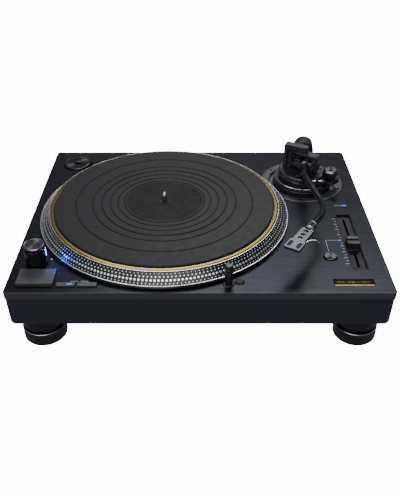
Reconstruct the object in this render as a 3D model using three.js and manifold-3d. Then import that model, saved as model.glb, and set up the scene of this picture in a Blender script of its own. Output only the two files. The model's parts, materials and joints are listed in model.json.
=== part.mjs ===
// A direct-drive turntable with an S-shaped tonearm, in millimetres.
// The origin is the middle of the footprint at floor level: +X right, +Y to the back, +Z up.
// Everything is drawn in the deck's own coordinates and carried to the origin by one group:
// x from the centre line, y back from the front edge and z up from the top face of the deck.
import * as THREE from 'three';
import { mergeVertices } from 'three/addons/utils/BufferGeometryUtils.js';
import Module from 'manifold-3d';

const wasm = await Module();
wasm.setup();

// ---- clearances ----
const GAP = 0.3;                 // between pieces that touch
const CUT = 1;                   // how far a cutting tool runs past the face that it cuts

// ---- how finely round shapes are faceted ----
const FINE = 48;
const MEDIUM = 32;
const COARSE = 20;
const SMALL = 12;

// ---- plinth ----
const PLINTH_WIDTH = 453;
const PLINTH_DEPTH = 353;
const DECK_HEIGHT = 103;         // top face of the deck above the floor
const PLATE_THICKNESS = 10;
const PLATE_CORNER = 4;
const PLATE_CHAMFER = 0.7;
const SHELL_INSET = 0.3;         // the body below stands back from the plate's edge
const SHELL_DRAFT = 0.2;         // how much narrower each side is at the bottom
const SHELL_BOTTOM = -48.7;
const SHELL_BOTTOM_ROUND = 2;    // rounding of the bottom edge
const SHELL_WALL = 7.2;
const SHELL_CORNER = 6;
const SHELL_BOTTOM_CORNER = 8;
const COVER_RECESS = 1.3;        // the cover lies this far inside the body
const COVER_THICKNESS = 3.5;
const CHASSIS_THICKNESS = 8.5;
const POCKET_DEPTH = 5;          // control pockets in the plate

// ---- feet ----
const FOOT_X = 198.5;
const FOOT_Y = 46.3;
const CUP_RADIUS = 27.5;
const CUP_HEIGHT = 19.6;
const COLLAR_LOWER_Z = -79.8;
const COLLAR_LOWER_RADIUS = 26;
const COLLAR_UPPER_RADIUS = 28;
const STUD_RADIUS = 6;
const STUD_TOP_Z = -58;

// ---- terminal tray in the back wall ----
const PANEL = { x: 105, width: 130, depth: 22, low: -41, high: -20, wall: 1.6, setBack: 2.7 };
const TERMINAL_Y = PLINTH_DEPTH - PANEL.setBack - PANEL.depth + 2 + GAP;
const TERMINAL_Z = (PANEL.low + PANEL.high) / 2;

// ---- platter, motor and mat ----
const SPINDLE_X = -47.5;
const SPINDLE_Y = 171;
const PLATTER_RADIUS = 166;
const PLATTER_LIP_TOP = 5.5;
const PLATTER_LIP_WIDTH = 1.5;
const PLATTER_BOTTOM = 1.2;
const BAND_INNER_RADIUS = 153;   // inner edge of the slanted strobe band
const BAND_TOP = 16;
const RIM_TOP = 17;
const RIM_INNER_RADIUS = 151.9;
const TRIM_INNER_RADIUS = 146.9;
const TRIM_TOP = 17.8;
const PLATTER_DECK = 16.2;
const PLATTER_UNDERSIDE = 11;
const HUB_RADIUS = 30;
const MAT_RADIUS = 146.3;
const MAT_TOP = 20;
const SPINDLE_RADIUS = 3.6;
const SPINDLE_TOP = 33;
const SPINDLE_BOTTOM = -36;
const STATOR_RADIUS = 80;
const ROTOR_RADIUS = 78;
const ROTOR_INNER_RADIUS = 36;
const BEARING_RADIUS = 16;

// ---- left-hand controls ----
const POWER_X = -197.5;
const POWER_Y = 55;
const POWER_RADIUS = 13;
const POWER_POST_TOP = 24.5;
const POWER_KNOB_TOP = 30;
const STROBE_ANGLE = 16;         // where the strobe window faces, from +X, in degrees
const ADAPTOR_X = -188.5;
const ADAPTOR_Y = 313.5;
const ADAPTOR_RADIUS = 20.5;

// ---- controls that the plate is cut for: [name, x, y, width, depth, height] ----
const KEYS = [
  ['start_stop_button', -192.25, 26.7, 43.1, 28.4, 4],
  ['speed_33_button', -156, 14.4, 21.4, 6.7, 2],
  ['speed_45_button', -130.8, 14.4, 22, 6.7, 2],
  ['range_button', 194.4, 189, 17.3, 4, 1],
];
const ROUND_KEYS = [
  ['reset_button', 160.5, 70, 8, 2],
  ['light_button', 46.5, 20.2, 4.8, 1],
];
const KEY_DEPTH = 3;             // how far a key's body reaches below the plate's face
const KEY_CLEARANCE = 0.4;
const NAMEPLATE = { x: 180, y: 19.4, width: 48, depth: 13, recess: 1.4 };

// ---- target light ----
const LIGHT_X = 33.3;
const LIGHT_Y = 17;
const LIGHT_RADIUS = 4.7;
const LIGHT_TOP = 28;
const LIGHT_TRAVEL = 26;

// ---- pitch fader ----
const FADER_X = 193;
const FADER_WIDTH = 20;
const FADER_FRONT = 44.5;
const FADER_BACK = 167.7;
const FADER_FLOOR = -3;
const FADER_SLOT_WIDTH = 3;
const SLIDER_Y = 96;             // the slider's middle, a little in front of the scale's middle

// ---- tonearm ----
const ARM_X = 149.3;             // the vertical pivot
const ARM_Y = 258;
const ARM_AXIS_Z = 38;           // height of the tilt axis and the tube
const HEADSHELL_HEADING = -122;  // from +X, in degrees
const TILT_AXIS_HEADING = -36;
const FRONT_HEADING = -97;       // the tube where it leaves the pivot
const REAR_HEADING = 84;
const SLEEVE_START = 13.2;       // the tube's sleeve, from the pivot
const SLEEVE_END = 25;
const SLEEVE_RADIUS = 6.3;
const HOUSING_RADIUS = 4;        // the housing inside the ring
const TUBE_RADIUS = 4;
const FLANGE_RADIUS = 59.5;
const WELL_RADIUS = 48;
const RING_RADIUS = 41;
const RING_TOP = 10;
const DRUM_RADIUS = 34.5;
const DRUM_TOP = 22;
const DRUM_RELIEF_TOP = 12;      // the drum is lower behind, where the counterweight swings
const DRUM_RELIEF_RADIUS = 16;
const BRIDGE_BOTTOM = 12;
const BRIDGE_TOP = 18.5;
const YOKE_HALF_WIDTH = 23;
const YOKE_HALF_DEPTH = 6.3;
const YOKE_TOP = 48;
const YOKE_BOTTOM = 24;
const YOKE_POST = 5.5;           // thickness of its upright sides
const YOKE_BAR = 4.2;            // thickness of its top and bottom
const BRACKET_HEADING = -27;     // the fixed bracket that holds the upper pivot
const BRACKET_HALF_DEPTH = 5.8;
const BRACKET_REACH = 29.2;      // outer face of its post, from the pivot
const BRACKET_INNER = 24.4;
const BRACKET_TOP = 57;
const BRACKET_BAR_LOW = 49;
const CLIP_TUBE_Y = 220;         // where the tube lies on its rest
const REST_X = 145;              // the tube's middle where it lies on its rest
const CLIP_RISE = 6;             // the clip's pin above the tube's middle
const CLIP_LEAN = 50;
const LIFT_Y = 230;              // where the cue lift reaches the tube
const SKATE_X = 186.5;
const SKATE_Y = 241;
const SKATE_RADIUS = 10.7;
const SKATE_TOP = 30;
const LEVER_X = 184;
const LEVER_Y = 229;
const LEVER_Z = 13.5;
const LEVER_HEADING = -59;
const WEIGHT_RADIUS = 14;
const WEIGHT_START = 27.2;       // from the pivot
const WEIGHT_END = 46;
const DIAL_START = 22;
const SHAFT_START = 11;
const SHAFT_END = 58;
const SHAFT_RADIUS = 4.5;

// ---- headshell ----
const NUT_START = new THREE.Vector3(137.6 - ARM_X, 84.6 - ARM_Y, 0);
const SHELL_START = 15.3;        // back edge of the headshell, from the nut's start
const SHELL_LENGTH = 47;
const HEADSHELL_BACK_HALF = 7.7;
const HEADSHELL_FRONT_HALF = 10;
const HEADSHELL_HOLES = [6.2, 14, 21.8];
const HEADSHELL_HOLE_RADIUS = 3;
const NUT_RADIUS = 5.5;

// ---- materials ----
function finish(color, roughness, metalness) {
  return new THREE.MeshStandardMaterial({ color, roughness, metalness });
}
const blackAluminium = () => finish(0x17191d, 0.35, 0.8);
const blackPaint = () => finish(0x15161a, 0.5, 0.1);
const blackRubber = () => finish(0x24252a, 0.9, 0);
const blackPlastic = () => finish(0x1b1c20, 0.45, 0);
const brightAluminium = () => finish(0xb4b7bd, 0.3, 1);
const castAluminium = () => finish(0x8d9095, 0.6, 0.9);
const gold = () => finish(0xb49a52, 0.3, 1);
const steel = () => finish(0xa9abb0, 0.25, 1);
const blueLens = () => finish(0x9fc8ff, 0.1, 0);

// ---- from geometry to solid and back ----
function signedVolume(position, index) {
  const a = new THREE.Vector3();
  const b = new THREE.Vector3();
  const c = new THREE.Vector3();
  let volume = 0;
  for (let i = 0; i < index.length; i += 3) {
    a.fromBufferAttribute(position, index[i]);
    b.fromBufferAttribute(position, index[i + 1]);
    c.fromBufferAttribute(position, index[i + 2]);
    volume += a.dot(b.cross(c)) / 6;
  }
  return volume;
}

function solid(geometry) {
  geometry.deleteAttribute('normal');
  geometry.deleteAttribute('uv');
  const merged = mergeVertices(geometry, 1e-4);
  const index = [];
  const source = merged.index.array;
  for (let i = 0; i < source.length; i += 3) {
    const [a, b, c] = [source[i], source[i + 1], source[i + 2]];
    if (a !== b && b !== c && c !== a) index.push(a, b, c);
  }
  if (signedVolume(merged.attributes.position, index) < 0) index.reverse();
  return new wasm.Manifold(new wasm.Mesh({
    numProp: 3,
    vertProperties: new Float32Array(merged.attributes.position.array),
    triVerts: new Uint32Array(index),
  }));
}

function join(first, ...others) {
  return others.reduce((whole, other) => whole.add(other), first);
}

function cut(first, ...tools) {
  return tools.reduce((whole, tool) => whole.subtract(tool), first);
}

function piece(name, shape, material) {
  const mesh = shape.getMesh();
  const geometry = new THREE.BufferGeometry();
  geometry.setAttribute('position', new THREE.BufferAttribute(mesh.vertProperties, 3));
  geometry.setIndex(new THREE.BufferAttribute(mesh.triVerts, 1));
  geometry.computeVertexNormals();
  const node = new THREE.Mesh(geometry, material);
  node.name = name;
  return node;
}

// ---- basic shapes ----
function radians(degrees) {
  return THREE.MathUtils.degToRad(degrees);
}

function heading(degrees, length = 1) {
  return new THREE.Vector3(Math.cos(radians(degrees)), Math.sin(radians(degrees)), 0).multiplyScalar(length);
}

function block(x0, x1, y0, y1, z0, z1) {
  const geometry = new THREE.BoxGeometry(x1 - x0, y1 - y0, z1 - z0);
  return solid(geometry.translate((x0 + x1) / 2, (y0 + y1) / 2, (z0 + z1) / 2));
}

function upright(radius, z0, z1, x, y, sides = COARSE) {
  const geometry = new THREE.CylinderGeometry(radius, radius, z1 - z0, sides);
  return solid(geometry.rotateX(Math.PI / 2).translate(x, y, (z0 + z1) / 2));
}

// A rod from one point to another, which may taper.
function rod(start, end, radius, sides = SMALL, endRadius = radius) {
  const length = start.distanceTo(end);
  const geometry = new THREE.CylinderGeometry(endRadius, radius, length, sides);
  const direction = end.clone().sub(start).normalize();
  const turn = new THREE.Quaternion().setFromUnitVectors(new THREE.Vector3(0, 1, 0), direction);
  const middle = start.clone().add(end).multiplyScalar(0.5);
  return solid(geometry.applyQuaternion(turn).translate(middle.x, middle.y, middle.z));
}

// A solid of revolution about an upright axis, from a profile of [radius, height] points.
function turned(profile, x, y, sides = MEDIUM) {
  const closed = profile[0][0] === 0 ? profile : [...profile, profile[0]];
  const points = closed.map(([radius, height]) => new THREE.Vector2(radius, height));
  const geometry = new THREE.LatheGeometry(points, sides);
  return solid(geometry.rotateX(Math.PI / 2).translate(x, y, 0));
}

function roundedOutline(width, depth, radius, perCorner = 4) {
  const points = [];
  const corners = [[1, 1, 0], [-1, 1, 90], [-1, -1, 180], [1, -1, 270]];
  for (const [sx, sy, start] of corners) {
    for (let i = 0; i <= perCorner; i += 1) {
      const angle = radians(start + (90 * i) / perCorner);
      const x = sx * (width / 2 - radius) + radius * Math.cos(angle);
      const y = sy * (depth / 2 - radius) + radius * Math.sin(angle);
      points.push(new THREE.Vector2(x, y));
    }
  }
  return points;
}

// A solid through convex outlines of equal length, each [outline, height].
function loft(sections, x = 0, y = 0) {
  const count = sections[0][0].length;
  const vertices = [];
  for (const [outline, z] of sections) {
    for (const point of outline) vertices.push(x + point.x, y + point.y, z);
  }
  vertices.push(x, y, sections[0][1], x, y, sections.at(-1)[1]);
  const lowMiddle = sections.length * count;
  const highMiddle = lowMiddle + 1;
  const top = (sections.length - 1) * count;
  const index = [];
  for (let i = 0; i < count; i += 1) {
    const next = (i + 1) % count;
    index.push(lowMiddle, next, i, highMiddle, top + i, top + next);
    for (let s = 0; s < sections.length - 1; s += 1) {
      const low = s * count;
      const high = low + count;
      index.push(low + i, low + next, high + next, low + i, high + next, high + i);
    }
  }
  const geometry = new THREE.BufferGeometry();
  geometry.setAttribute('position', new THREE.Float32BufferAttribute(vertices, 3));
  geometry.setIndex(index);
  return solid(geometry);
}

// A button or plate with rounded corners and a small chamfer round its top.
function pad(width, depth, radius, z0, z1, x, y, chamfer = 0.5) {
  return loft([
    [roundedOutline(width, depth, radius, 3), z0],
    [roundedOutline(width, depth, radius, 3), z1 - chamfer],
    [roundedOutline(width - 2 * chamfer, depth - 2 * chamfer, radius, 3), z1],
  ], x, y);
}

function extruded(points, z0, z1) {
  const shape = new THREE.Shape(points.map(([x, y]) => new THREE.Vector2(x, y)));
  const geometry = new THREE.ExtrudeGeometry(shape, { depth: z1 - z0, bevelEnabled: false });
  return solid(geometry.translate(0, 0, z0));
}

function tube(points, radius, steps, sides) {
  const section = new THREE.Shape();
  section.absarc(0, 0, radius, 0, 2 * Math.PI);
  const path = new THREE.CatmullRomCurve3(points, false, 'centripetal');
  return solid(new THREE.ExtrudeGeometry(section, { steps, extrudePath: path, curveSegments: sides }));
}

// ---- plinth ----
function topPlate() {
  const middle = PLINTH_DEPTH / 2;
  const body = loft([
    [roundedOutline(PLINTH_WIDTH, PLINTH_DEPTH, PLATE_CORNER), -PLATE_THICKNESS],
    [roundedOutline(PLINTH_WIDTH, PLINTH_DEPTH, PLATE_CORNER), -PLATE_CHAMFER],
    [roundedOutline(PLINTH_WIDTH - 2 * PLATE_CHAMFER, PLINTH_DEPTH - 2 * PLATE_CHAMFER, PLATE_CORNER), 0],
  ], 0, middle);
  const tools = [
    upright(STATOR_RADIUS + 1, -PLATE_THICKNESS - CUT, CUT, SPINDLE_X, SPINDLE_Y, MEDIUM),
    upright(DRUM_RADIUS + 1, -PLATE_THICKNESS - CUT, CUT, ARM_X, ARM_Y, MEDIUM),
    upright(FLANGE_RADIUS + GAP, -4, CUT, ARM_X, ARM_Y, MEDIUM),
    upright(POWER_RADIUS + KEY_CLEARANCE, -POCKET_DEPTH, CUT, POWER_X, POWER_Y),
    upright(ADAPTOR_RADIUS + 1, -POCKET_DEPTH - 1, CUT, ADAPTOR_X, ADAPTOR_Y, MEDIUM),
    upright(LIGHT_RADIUS + 2.5, -PLATE_THICKNESS - CUT, CUT, LIGHT_X, LIGHT_Y),
    block(FADER_X - FADER_WIDTH / 2, FADER_X + FADER_WIDTH / 2, FADER_FRONT, FADER_BACK,
      -PLATE_THICKNESS - CUT, CUT),
    block(NAMEPLATE.x - NAMEPLATE.width / 2, NAMEPLATE.x + NAMEPLATE.width / 2,
      NAMEPLATE.y - NAMEPLATE.depth / 2, NAMEPLATE.y + NAMEPLATE.depth / 2, -NAMEPLATE.recess, CUT),
  ];
  for (const [, x, y, width, depth] of KEYS) {
    const w = width / 2 + KEY_CLEARANCE;
    const d = depth / 2 + KEY_CLEARANCE;
    tools.push(block(x - w, x + w, y - d, y + d, -POCKET_DEPTH, CUT));
  }
  for (const [, x, y, radius] of ROUND_KEYS) {
    tools.push(upright(radius + KEY_CLEARANCE, -POCKET_DEPTH, CUT, x, y));
  }
  return cut(body, ...tools);
}

function shellOutline(inset, corner) {
  return roundedOutline(PLINTH_WIDTH - 2 * inset, PLINTH_DEPTH - 2 * inset, corner);
}


function baseShell() {
  const top = -PLATE_THICKNESS - GAP;
  const lowInset = SHELL_INSET + SHELL_DRAFT;
  const inner = SHELL_INSET + SHELL_WALL;
  const body = loft([
    [shellOutline(lowInset + SHELL_BOTTOM_ROUND, SHELL_BOTTOM_CORNER), SHELL_BOTTOM],
    [shellOutline(lowInset + 0.3 * SHELL_BOTTOM_ROUND, SHELL_BOTTOM_CORNER),
      SHELL_BOTTOM + 0.3 * SHELL_BOTTOM_ROUND],
    [shellOutline(lowInset, SHELL_BOTTOM_CORNER), SHELL_BOTTOM + SHELL_BOTTOM_ROUND],
    [shellOutline(SHELL_INSET, SHELL_CORNER), top],
  ], 0, PLINTH_DEPTH / 2);
  const hollow = loft([
    [shellOutline(inner, SHELL_CORNER), SHELL_BOTTOM - CUT],
    [shellOutline(inner, SHELL_CORNER), top + CUT],
  ], 0, PLINTH_DEPTH / 2);
  const panelHole = block(PANEL.x - PANEL.width / 2 - GAP, PANEL.x + PANEL.width / 2 + GAP,
    PLINTH_DEPTH - 12, PLINTH_DEPTH + CUT, PANEL.low - GAP, PANEL.high + GAP);
  return cut(body, hollow, panelHole);
}

function footPlaces() {
  return [
    ['front_left', -FOOT_X, FOOT_Y],
    ['front_right', FOOT_X, FOOT_Y],
    ['rear_left', -FOOT_X, PLINTH_DEPTH - FOOT_Y],
    ['rear_right', FOOT_X, PLINTH_DEPTH - FOOT_Y],
  ];
}

function bottomCover() {
  const inset = SHELL_INSET + SHELL_WALL + GAP;
  const low = SHELL_BOTTOM + COVER_RECESS;
  let body = loft([
    [shellOutline(inset, SHELL_CORNER), low],
    [shellOutline(inset, SHELL_CORNER), low + COVER_THICKNESS],
  ], 0, PLINTH_DEPTH / 2);
  for (const [, x, y] of footPlaces()) {
    const limit = loft([
      [shellOutline(inset, SHELL_CORNER), SHELL_BOTTOM - GAP],
      [shellOutline(inset, SHELL_CORNER), low + CUT],
    ], 0, PLINTH_DEPTH / 2);
    const neck = upright(COLLAR_UPPER_RADIUS, SHELL_BOTTOM - GAP, low + CUT, x, y, COARSE).intersect(limit);
    const collar = turned([
      [0, COLLAR_LOWER_Z],
      [COLLAR_LOWER_RADIUS - 1, COLLAR_LOWER_Z],
      [COLLAR_LOWER_RADIUS, COLLAR_LOWER_Z + 1],
      [COLLAR_LOWER_RADIUS, -60],
      [COLLAR_UPPER_RADIUS, SHELL_BOTTOM - 3],
      [COLLAR_UPPER_RADIUS, SHELL_BOTTOM - GAP],
      [0, SHELL_BOTTOM - GAP],
    ], x, y, COARSE);
    const bore = upright(STUD_RADIUS + 0.5, COLLAR_LOWER_Z - CUT, low, x, y, SMALL);
    body = cut(join(body, neck, collar), bore);
  }
  return body;
}

function footCup(x, y) {
  const floor = -DECK_HEIGHT;
  const top = floor + CUP_HEIGHT;
  const profile = [
    [0, floor],
    [CUP_RADIUS - 2.5, floor],
    [CUP_RADIUS - 0.8, floor + 1],
    [CUP_RADIUS, floor + 2.5],
    [CUP_RADIUS, top - 0.8],
    [CUP_RADIUS - 0.8, top],
    [STUD_RADIUS, top],
    [STUD_RADIUS, STUD_TOP_Z],
    [0, STUD_TOP_Z],
  ];
  return turned(profile, x, y, COARSE);
}

function chassisFrame() {
  const inset = SHELL_INSET + SHELL_WALL + GAP;
  const top = -PLATE_THICKNESS - GAP;
  const low = top - CHASSIS_THICKNESS;
  const body = loft([
    [shellOutline(inset, SHELL_CORNER), low],
    [shellOutline(inset, SHELL_CORNER), top],
  ], 0, PLINTH_DEPTH / 2);
  const under = low - CUT;
  const over = top + CUT;
  return cut(body,
    upright(BEARING_RADIUS + 1, under, over, SPINDLE_X, SPINDLE_Y),
    upright(DRUM_RADIUS + 1, under, over, ARM_X, ARM_Y, MEDIUM),
    upright(LIGHT_RADIUS + 2.5, under, over, LIGHT_X, LIGHT_Y),
    block(FADER_X - 11, FADER_X + 11, FADER_FRONT - 2, FADER_BACK + 2, under, over));
}

function motorStator() {
  const low = -PLATE_THICKNESS + 0.3;
  const plate = turned([
    [BEARING_RADIUS + 3, low], [STATOR_RADIUS, low], [STATOR_RADIUS, low + 4],
    [BEARING_RADIUS + 3, low + 4],
  ], SPINDLE_X, SPINDLE_Y);
  const coils = [];
  for (let i = 0; i < 9; i += 1) {
    const place = heading(40 * i, 58);
    coils.push(upright(13, low + 3, 1.2, SPINDLE_X + place.x, SPINDLE_Y + place.y, 10));
  }
  return join(plate, ...coils);
}

function bearingHousing() {
  const body = join(
    upright(BEARING_RADIUS, -42, 0.5, SPINDLE_X, SPINDLE_Y),
    upright(BEARING_RADIUS + 10, -42, -38, SPINDLE_X, SPINDLE_Y));
  return cut(body, upright(SPINDLE_RADIUS + GAP, SPINDLE_BOTTOM - GAP, CUT + 1, SPINDLE_X, SPINDLE_Y));
}

function mainBoard() {
  const z = -36;
  return join(
    block(-205, -110, 60, 200, z, z + 1.6),
    block(-190, -170, 80, 100, z + 1, z + 5),
    block(-150, -125, 90, 115, z + 1, z + 12),
    block(-195, -165, 130, 138, z + 1, z + 9),
    block(-150, -130, 150, 180, z + 1, z + 4));
}

function powerSupply() {
  const z = -38;
  return join(
    block(-205, -95, 225, 300, z, z + 1.6),
    block(-195, -155, 235, 270, z + 1, z + 17),
    block(-145, -120, 240, 262, z + 1, z + 15),
    upright(7, z + 1, z + 16, -180, 286),
    upright(7, z + 1, z + 16, -160, 286),
    block(-140, -105, 275, 290, z + 1, z + 10));
}

// ---- terminals in a tray at the back ----
function terminalPanel() {
  const back = PLINTH_DEPTH - PANEL.setBack;
  const front = back - PANEL.depth;
  const left = PANEL.x - PANEL.width / 2;
  const right = PANEL.x + PANEL.width / 2;
  const tray = block(left, right, front, back, PANEL.low, PANEL.high);
  const hollow = block(left + PANEL.wall, right - PANEL.wall, front + 2, back + CUT,
    PANEL.low + PANEL.wall, PANEL.high - PANEL.wall);
  return cut(tray, hollow);
}

function acInlet() {
  const x = PANEL.x - 45;
  const body = block(x - 14, x + 14, TERMINAL_Y, TERMINAL_Y + 14, TERMINAL_Z - 8.6, TERMINAL_Z + 8.6);
  const socket = block(x - 11.5, x + 11.5, TERMINAL_Y + 2, TERMINAL_Y + 15,
    TERMINAL_Z - 6.4, TERMINAL_Z + 6.4);
  return cut(body, socket);
}

function phonoJack(x) {
  const from = new THREE.Vector3(x, TERMINAL_Y, TERMINAL_Z);
  const step = (distance) => from.clone().add(new THREE.Vector3(0, distance, 0));
  return cut(
    join(rod(from, step(2), 6.5), rod(step(1), step(11), 4.2)),
    rod(step(3), step(12), 1.7, 10));
}

function groundTerminal() {
  const from = new THREE.Vector3(PANEL.x + 45, TERMINAL_Y, TERMINAL_Z);
  const step = (distance) => from.clone().add(new THREE.Vector3(0, distance, 0));
  return join(rod(from, step(1.2), 6), rod(step(1), step(8), 4.5), rod(step(7), step(10), 3));
}

// ---- platter group ----
function platter() {
  const profile = [
    [SPINDLE_RADIUS + GAP, 2],
    [HUB_RADIUS, 2],
    [HUB_RADIUS, PLATTER_UNDERSIDE],
    [149, PLATTER_UNDERSIDE],
    [150.5, PLATTER_BOTTOM],
    [PLATTER_RADIUS - 0.6, PLATTER_BOTTOM],
    [PLATTER_RADIUS, PLATTER_BOTTOM + 0.6],
    [PLATTER_RADIUS, PLATTER_LIP_TOP],
    [PLATTER_RADIUS - PLATTER_LIP_WIDTH, PLATTER_LIP_TOP],
    [BAND_INNER_RADIUS, BAND_TOP],
    [BAND_INNER_RADIUS, RIM_TOP],
    [RIM_INNER_RADIUS, RIM_TOP],
    [RIM_INNER_RADIUS, PLATTER_DECK - 1],
    [TRIM_INNER_RADIUS - GAP, PLATTER_DECK - 1],
    [TRIM_INNER_RADIUS - GAP, PLATTER_DECK],
    [SPINDLE_RADIUS + GAP, PLATTER_DECK],
  ];
  return turned(profile, SPINDLE_X, SPINDLE_Y, FINE);
}

function ringRoundSpindle(inner, outer, z0, z1, sides) {
  return turned([[inner, z0], [outer, z0], [outer, z1], [inner, z1]], SPINDLE_X, SPINDLE_Y, sides);
}

function trimRing() {
  return ringRoundSpindle(TRIM_INNER_RADIUS, RIM_INNER_RADIUS - GAP, PLATTER_DECK - 0.7, TRIM_TOP, FINE);
}

function motorRotor() {
  return ringRoundSpindle(ROTOR_INNER_RADIUS, ROTOR_RADIUS, 3, PLATTER_UNDERSIDE - GAP, MEDIUM);
}

function rubberMat() {
  const low = PLATTER_DECK + GAP;
  const bore = SPINDLE_RADIUS + GAP;
  return turned([
    [bore, low], [MAT_RADIUS - 1, low], [MAT_RADIUS, low + 1], [MAT_RADIUS, MAT_TOP - 0.6],
    [MAT_RADIUS - 1.5, MAT_TOP], [50.5, MAT_TOP], [49.5, MAT_TOP - 0.8], [bore, MAT_TOP - 0.8],
  ], SPINDLE_X, SPINDLE_Y, FINE);
}

function spindle() {
  return turned([
    [0, SPINDLE_BOTTOM], [SPINDLE_RADIUS, SPINDLE_BOTTOM], [SPINDLE_RADIUS, SPINDLE_TOP - 5],
    [SPINDLE_RADIUS - 0.7, SPINDLE_TOP - 2.5], [1.6, SPINDLE_TOP - 0.5], [0, SPINDLE_TOP],
  ], SPINDLE_X, SPINDLE_Y, COARSE);
}

// ---- controls ----
function powerPost() {
  const body = turned([
    [0, -POCKET_DEPTH + GAP], [POWER_RADIUS - 0.6, -POCKET_DEPTH + GAP], [POWER_RADIUS - 0.6, 1],
    [POWER_RADIUS, POWER_POST_TOP], [0, POWER_POST_TOP],
  ], POWER_X, POWER_Y);
  return cut(body, strobeBlock(GAP));
}

function strobeBlock(extra) {
  const geometry = new THREE.BoxGeometry(4 + 2 * extra, 4 + 2 * extra, 12 + 2 * extra);
  geometry.translate(POWER_RADIUS - 1.6, 0, 17);
  geometry.rotateZ(radians(STROBE_ANGLE));
  return solid(geometry.translate(POWER_X, POWER_Y, 0));
}

function powerKnob() {
  return turned([
    [0, POWER_POST_TOP + 0.4], [POWER_RADIUS, POWER_POST_TOP + 0.4], [POWER_RADIUS, POWER_KNOB_TOP - 1],
    [POWER_RADIUS - 1.2, POWER_KNOB_TOP], [0, POWER_KNOB_TOP],
  ], POWER_X, POWER_Y);
}

function adaptor() {
  const low = -POCKET_DEPTH - 1 + GAP;
  return turned([
    [SPINDLE_RADIUS + 0.1, low], [ADAPTOR_RADIUS, low], [ADAPTOR_RADIUS, 1.6], [ADAPTOR_RADIUS - 1, 2.6],
    [SPINDLE_RADIUS + 1, 2.6], [SPINDLE_RADIUS + 0.1, 2],
  ], ADAPTOR_X, ADAPTOR_Y);
}

function targetLightCollar() {
  return turned([
    [LIGHT_RADIUS + GAP, -PLATE_THICKNESS + 1], [LIGHT_RADIUS + 2.2, -PLATE_THICKNESS + 1],
    [LIGHT_RADIUS + 2.2, 0.8], [LIGHT_RADIUS + GAP, 0.8],
  ], LIGHT_X, LIGHT_Y, COARSE);
}

function targetLight() {
  return turned([
    [0, LIGHT_TOP - LIGHT_TRAVEL - 12], [LIGHT_RADIUS, LIGHT_TOP - LIGHT_TRAVEL - 12],
    [LIGHT_RADIUS, LIGHT_TOP - 0.8], [LIGHT_RADIUS - 0.8, LIGHT_TOP], [0, LIGHT_TOP],
  ], LIGHT_X, LIGHT_Y, COARSE);
}

function faderBezel() {
  const half = FADER_WIDTH / 2 - GAP;
  const front = FADER_FRONT + GAP;
  const back = FADER_BACK - GAP;
  const middle = (FADER_FRONT + FADER_BACK) / 2;
  const body = block(FADER_X - half, FADER_X + half, front, back, FADER_FLOOR - 2, -0.2);
  const recess = block(FADER_X - half + 0.8, FADER_X + half - 0.8, front + 0.8, back - 0.8, FADER_FLOOR, CUT);
  const slot = block(FADER_X - FADER_SLOT_WIDTH / 2, FADER_X + FADER_SLOT_WIDTH / 2,
    middle - 53.5, middle + 53.5, FADER_FLOOR - 2 - CUT, CUT);
  return cut(body, recess, slot);
}

function faderPotentiometer() {
  const top = FADER_FLOOR - 2 - GAP;
  const body = block(FADER_X - 7, FADER_X + 7, FADER_FRONT + 1, FADER_BACK - 1, top - 12, top);
  const channel = block(FADER_X - 2, FADER_X + 2, FADER_FRONT + 2.5, FADER_BACK - 2.5, top - 9, top + CUT);
  return cut(body, channel);
}

function pitchSlider() {
  const knob = loft([
    [roundedOutline(17, 21, 1.5, 3), FADER_FLOOR + 0.5],
    [roundedOutline(17, 21, 1.5, 3), 4],
    [roundedOutline(15.5, 17, 1.5, 3), 8],
  ], FADER_X, SLIDER_Y);
  const stem = block(FADER_X - 0.8, FADER_X + 0.8, SLIDER_Y - 3, SLIDER_Y + 3, FADER_FLOOR - 9, 1);
  return join(knob, stem);
}

function nameplate() {
  const { x, y, width, depth, recess } = NAMEPLATE;
  return block(x - width / 2 + GAP, x + width / 2 - GAP, y - depth / 2 + GAP, y + depth / 2 - GAP,
    -recess + GAP, -0.3);
}

// ---- tonearm base ----
function armFlange() {
  return turned([
    [RING_RADIUS + 1.5, -3.7], [FLANGE_RADIUS, -3.7], [FLANGE_RADIUS, 0.8], [FLANGE_RADIUS - 2, 1.2],
    [WELL_RADIUS + 6, 0.5], [WELL_RADIUS, 0.3], [WELL_RADIUS - 1, -2.4], [RING_RADIUS + 1.5, -2.4],
  ], ARM_X, ARM_Y);
}

function heightRing() {
  return turned([
    [DRUM_RADIUS + 0.5, -3.4], [RING_RADIUS, -3.4], [RING_RADIUS, RING_TOP - 1], [RING_RADIUS - 1, RING_TOP],
    [DRUM_RADIUS + 0.5, RING_TOP],
  ], ARM_X, ARM_Y);
}

function sector(inner, outer, from, to, z0, z1) {
  const points = [];
  const steps = 12;
  for (let i = 0; i <= steps; i += 1) points.push(heading(from + ((to - from) * i) / steps, outer));
  for (let i = steps; i >= 0; i -= 1) points.push(heading(from + ((to - from) * i) / steps, inner));
  return extruded(points.map((point) => [ARM_X + point.x, ARM_Y + point.y]), z0, z1);
}

function armDrum() {
  const body = turned([
    [0, -9], [DRUM_RADIUS, -9], [DRUM_RADIUS, DRUM_TOP - 2], [DRUM_RADIUS - 1.5, DRUM_TOP], [0, DRUM_TOP],
  ], ARM_X, ARM_Y);
  const column = upright(18, -36, -8, ARM_X, ARM_Y);
  const relief = sector(DRUM_RELIEF_RADIUS, DRUM_RADIUS + 2, 5, 130, DRUM_RELIEF_TOP, DRUM_TOP + CUT);
  const shaftBore = upright(5 + GAP, -20, DRUM_TOP + CUT, ARM_X, ARM_Y);
  const liftBore = upright(2.5 + GAP, 4, DRUM_TOP + CUT, ARM_X, LIFT_Y, SMALL);
  const dialSeat = upright(SKATE_RADIUS + 0.8, BRIDGE_BOTTOM, DRUM_TOP + CUT, SKATE_X, SKATE_Y);
  return cut(join(body, column), relief, shaftBore, liftBore, dialSeat);
}

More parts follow.
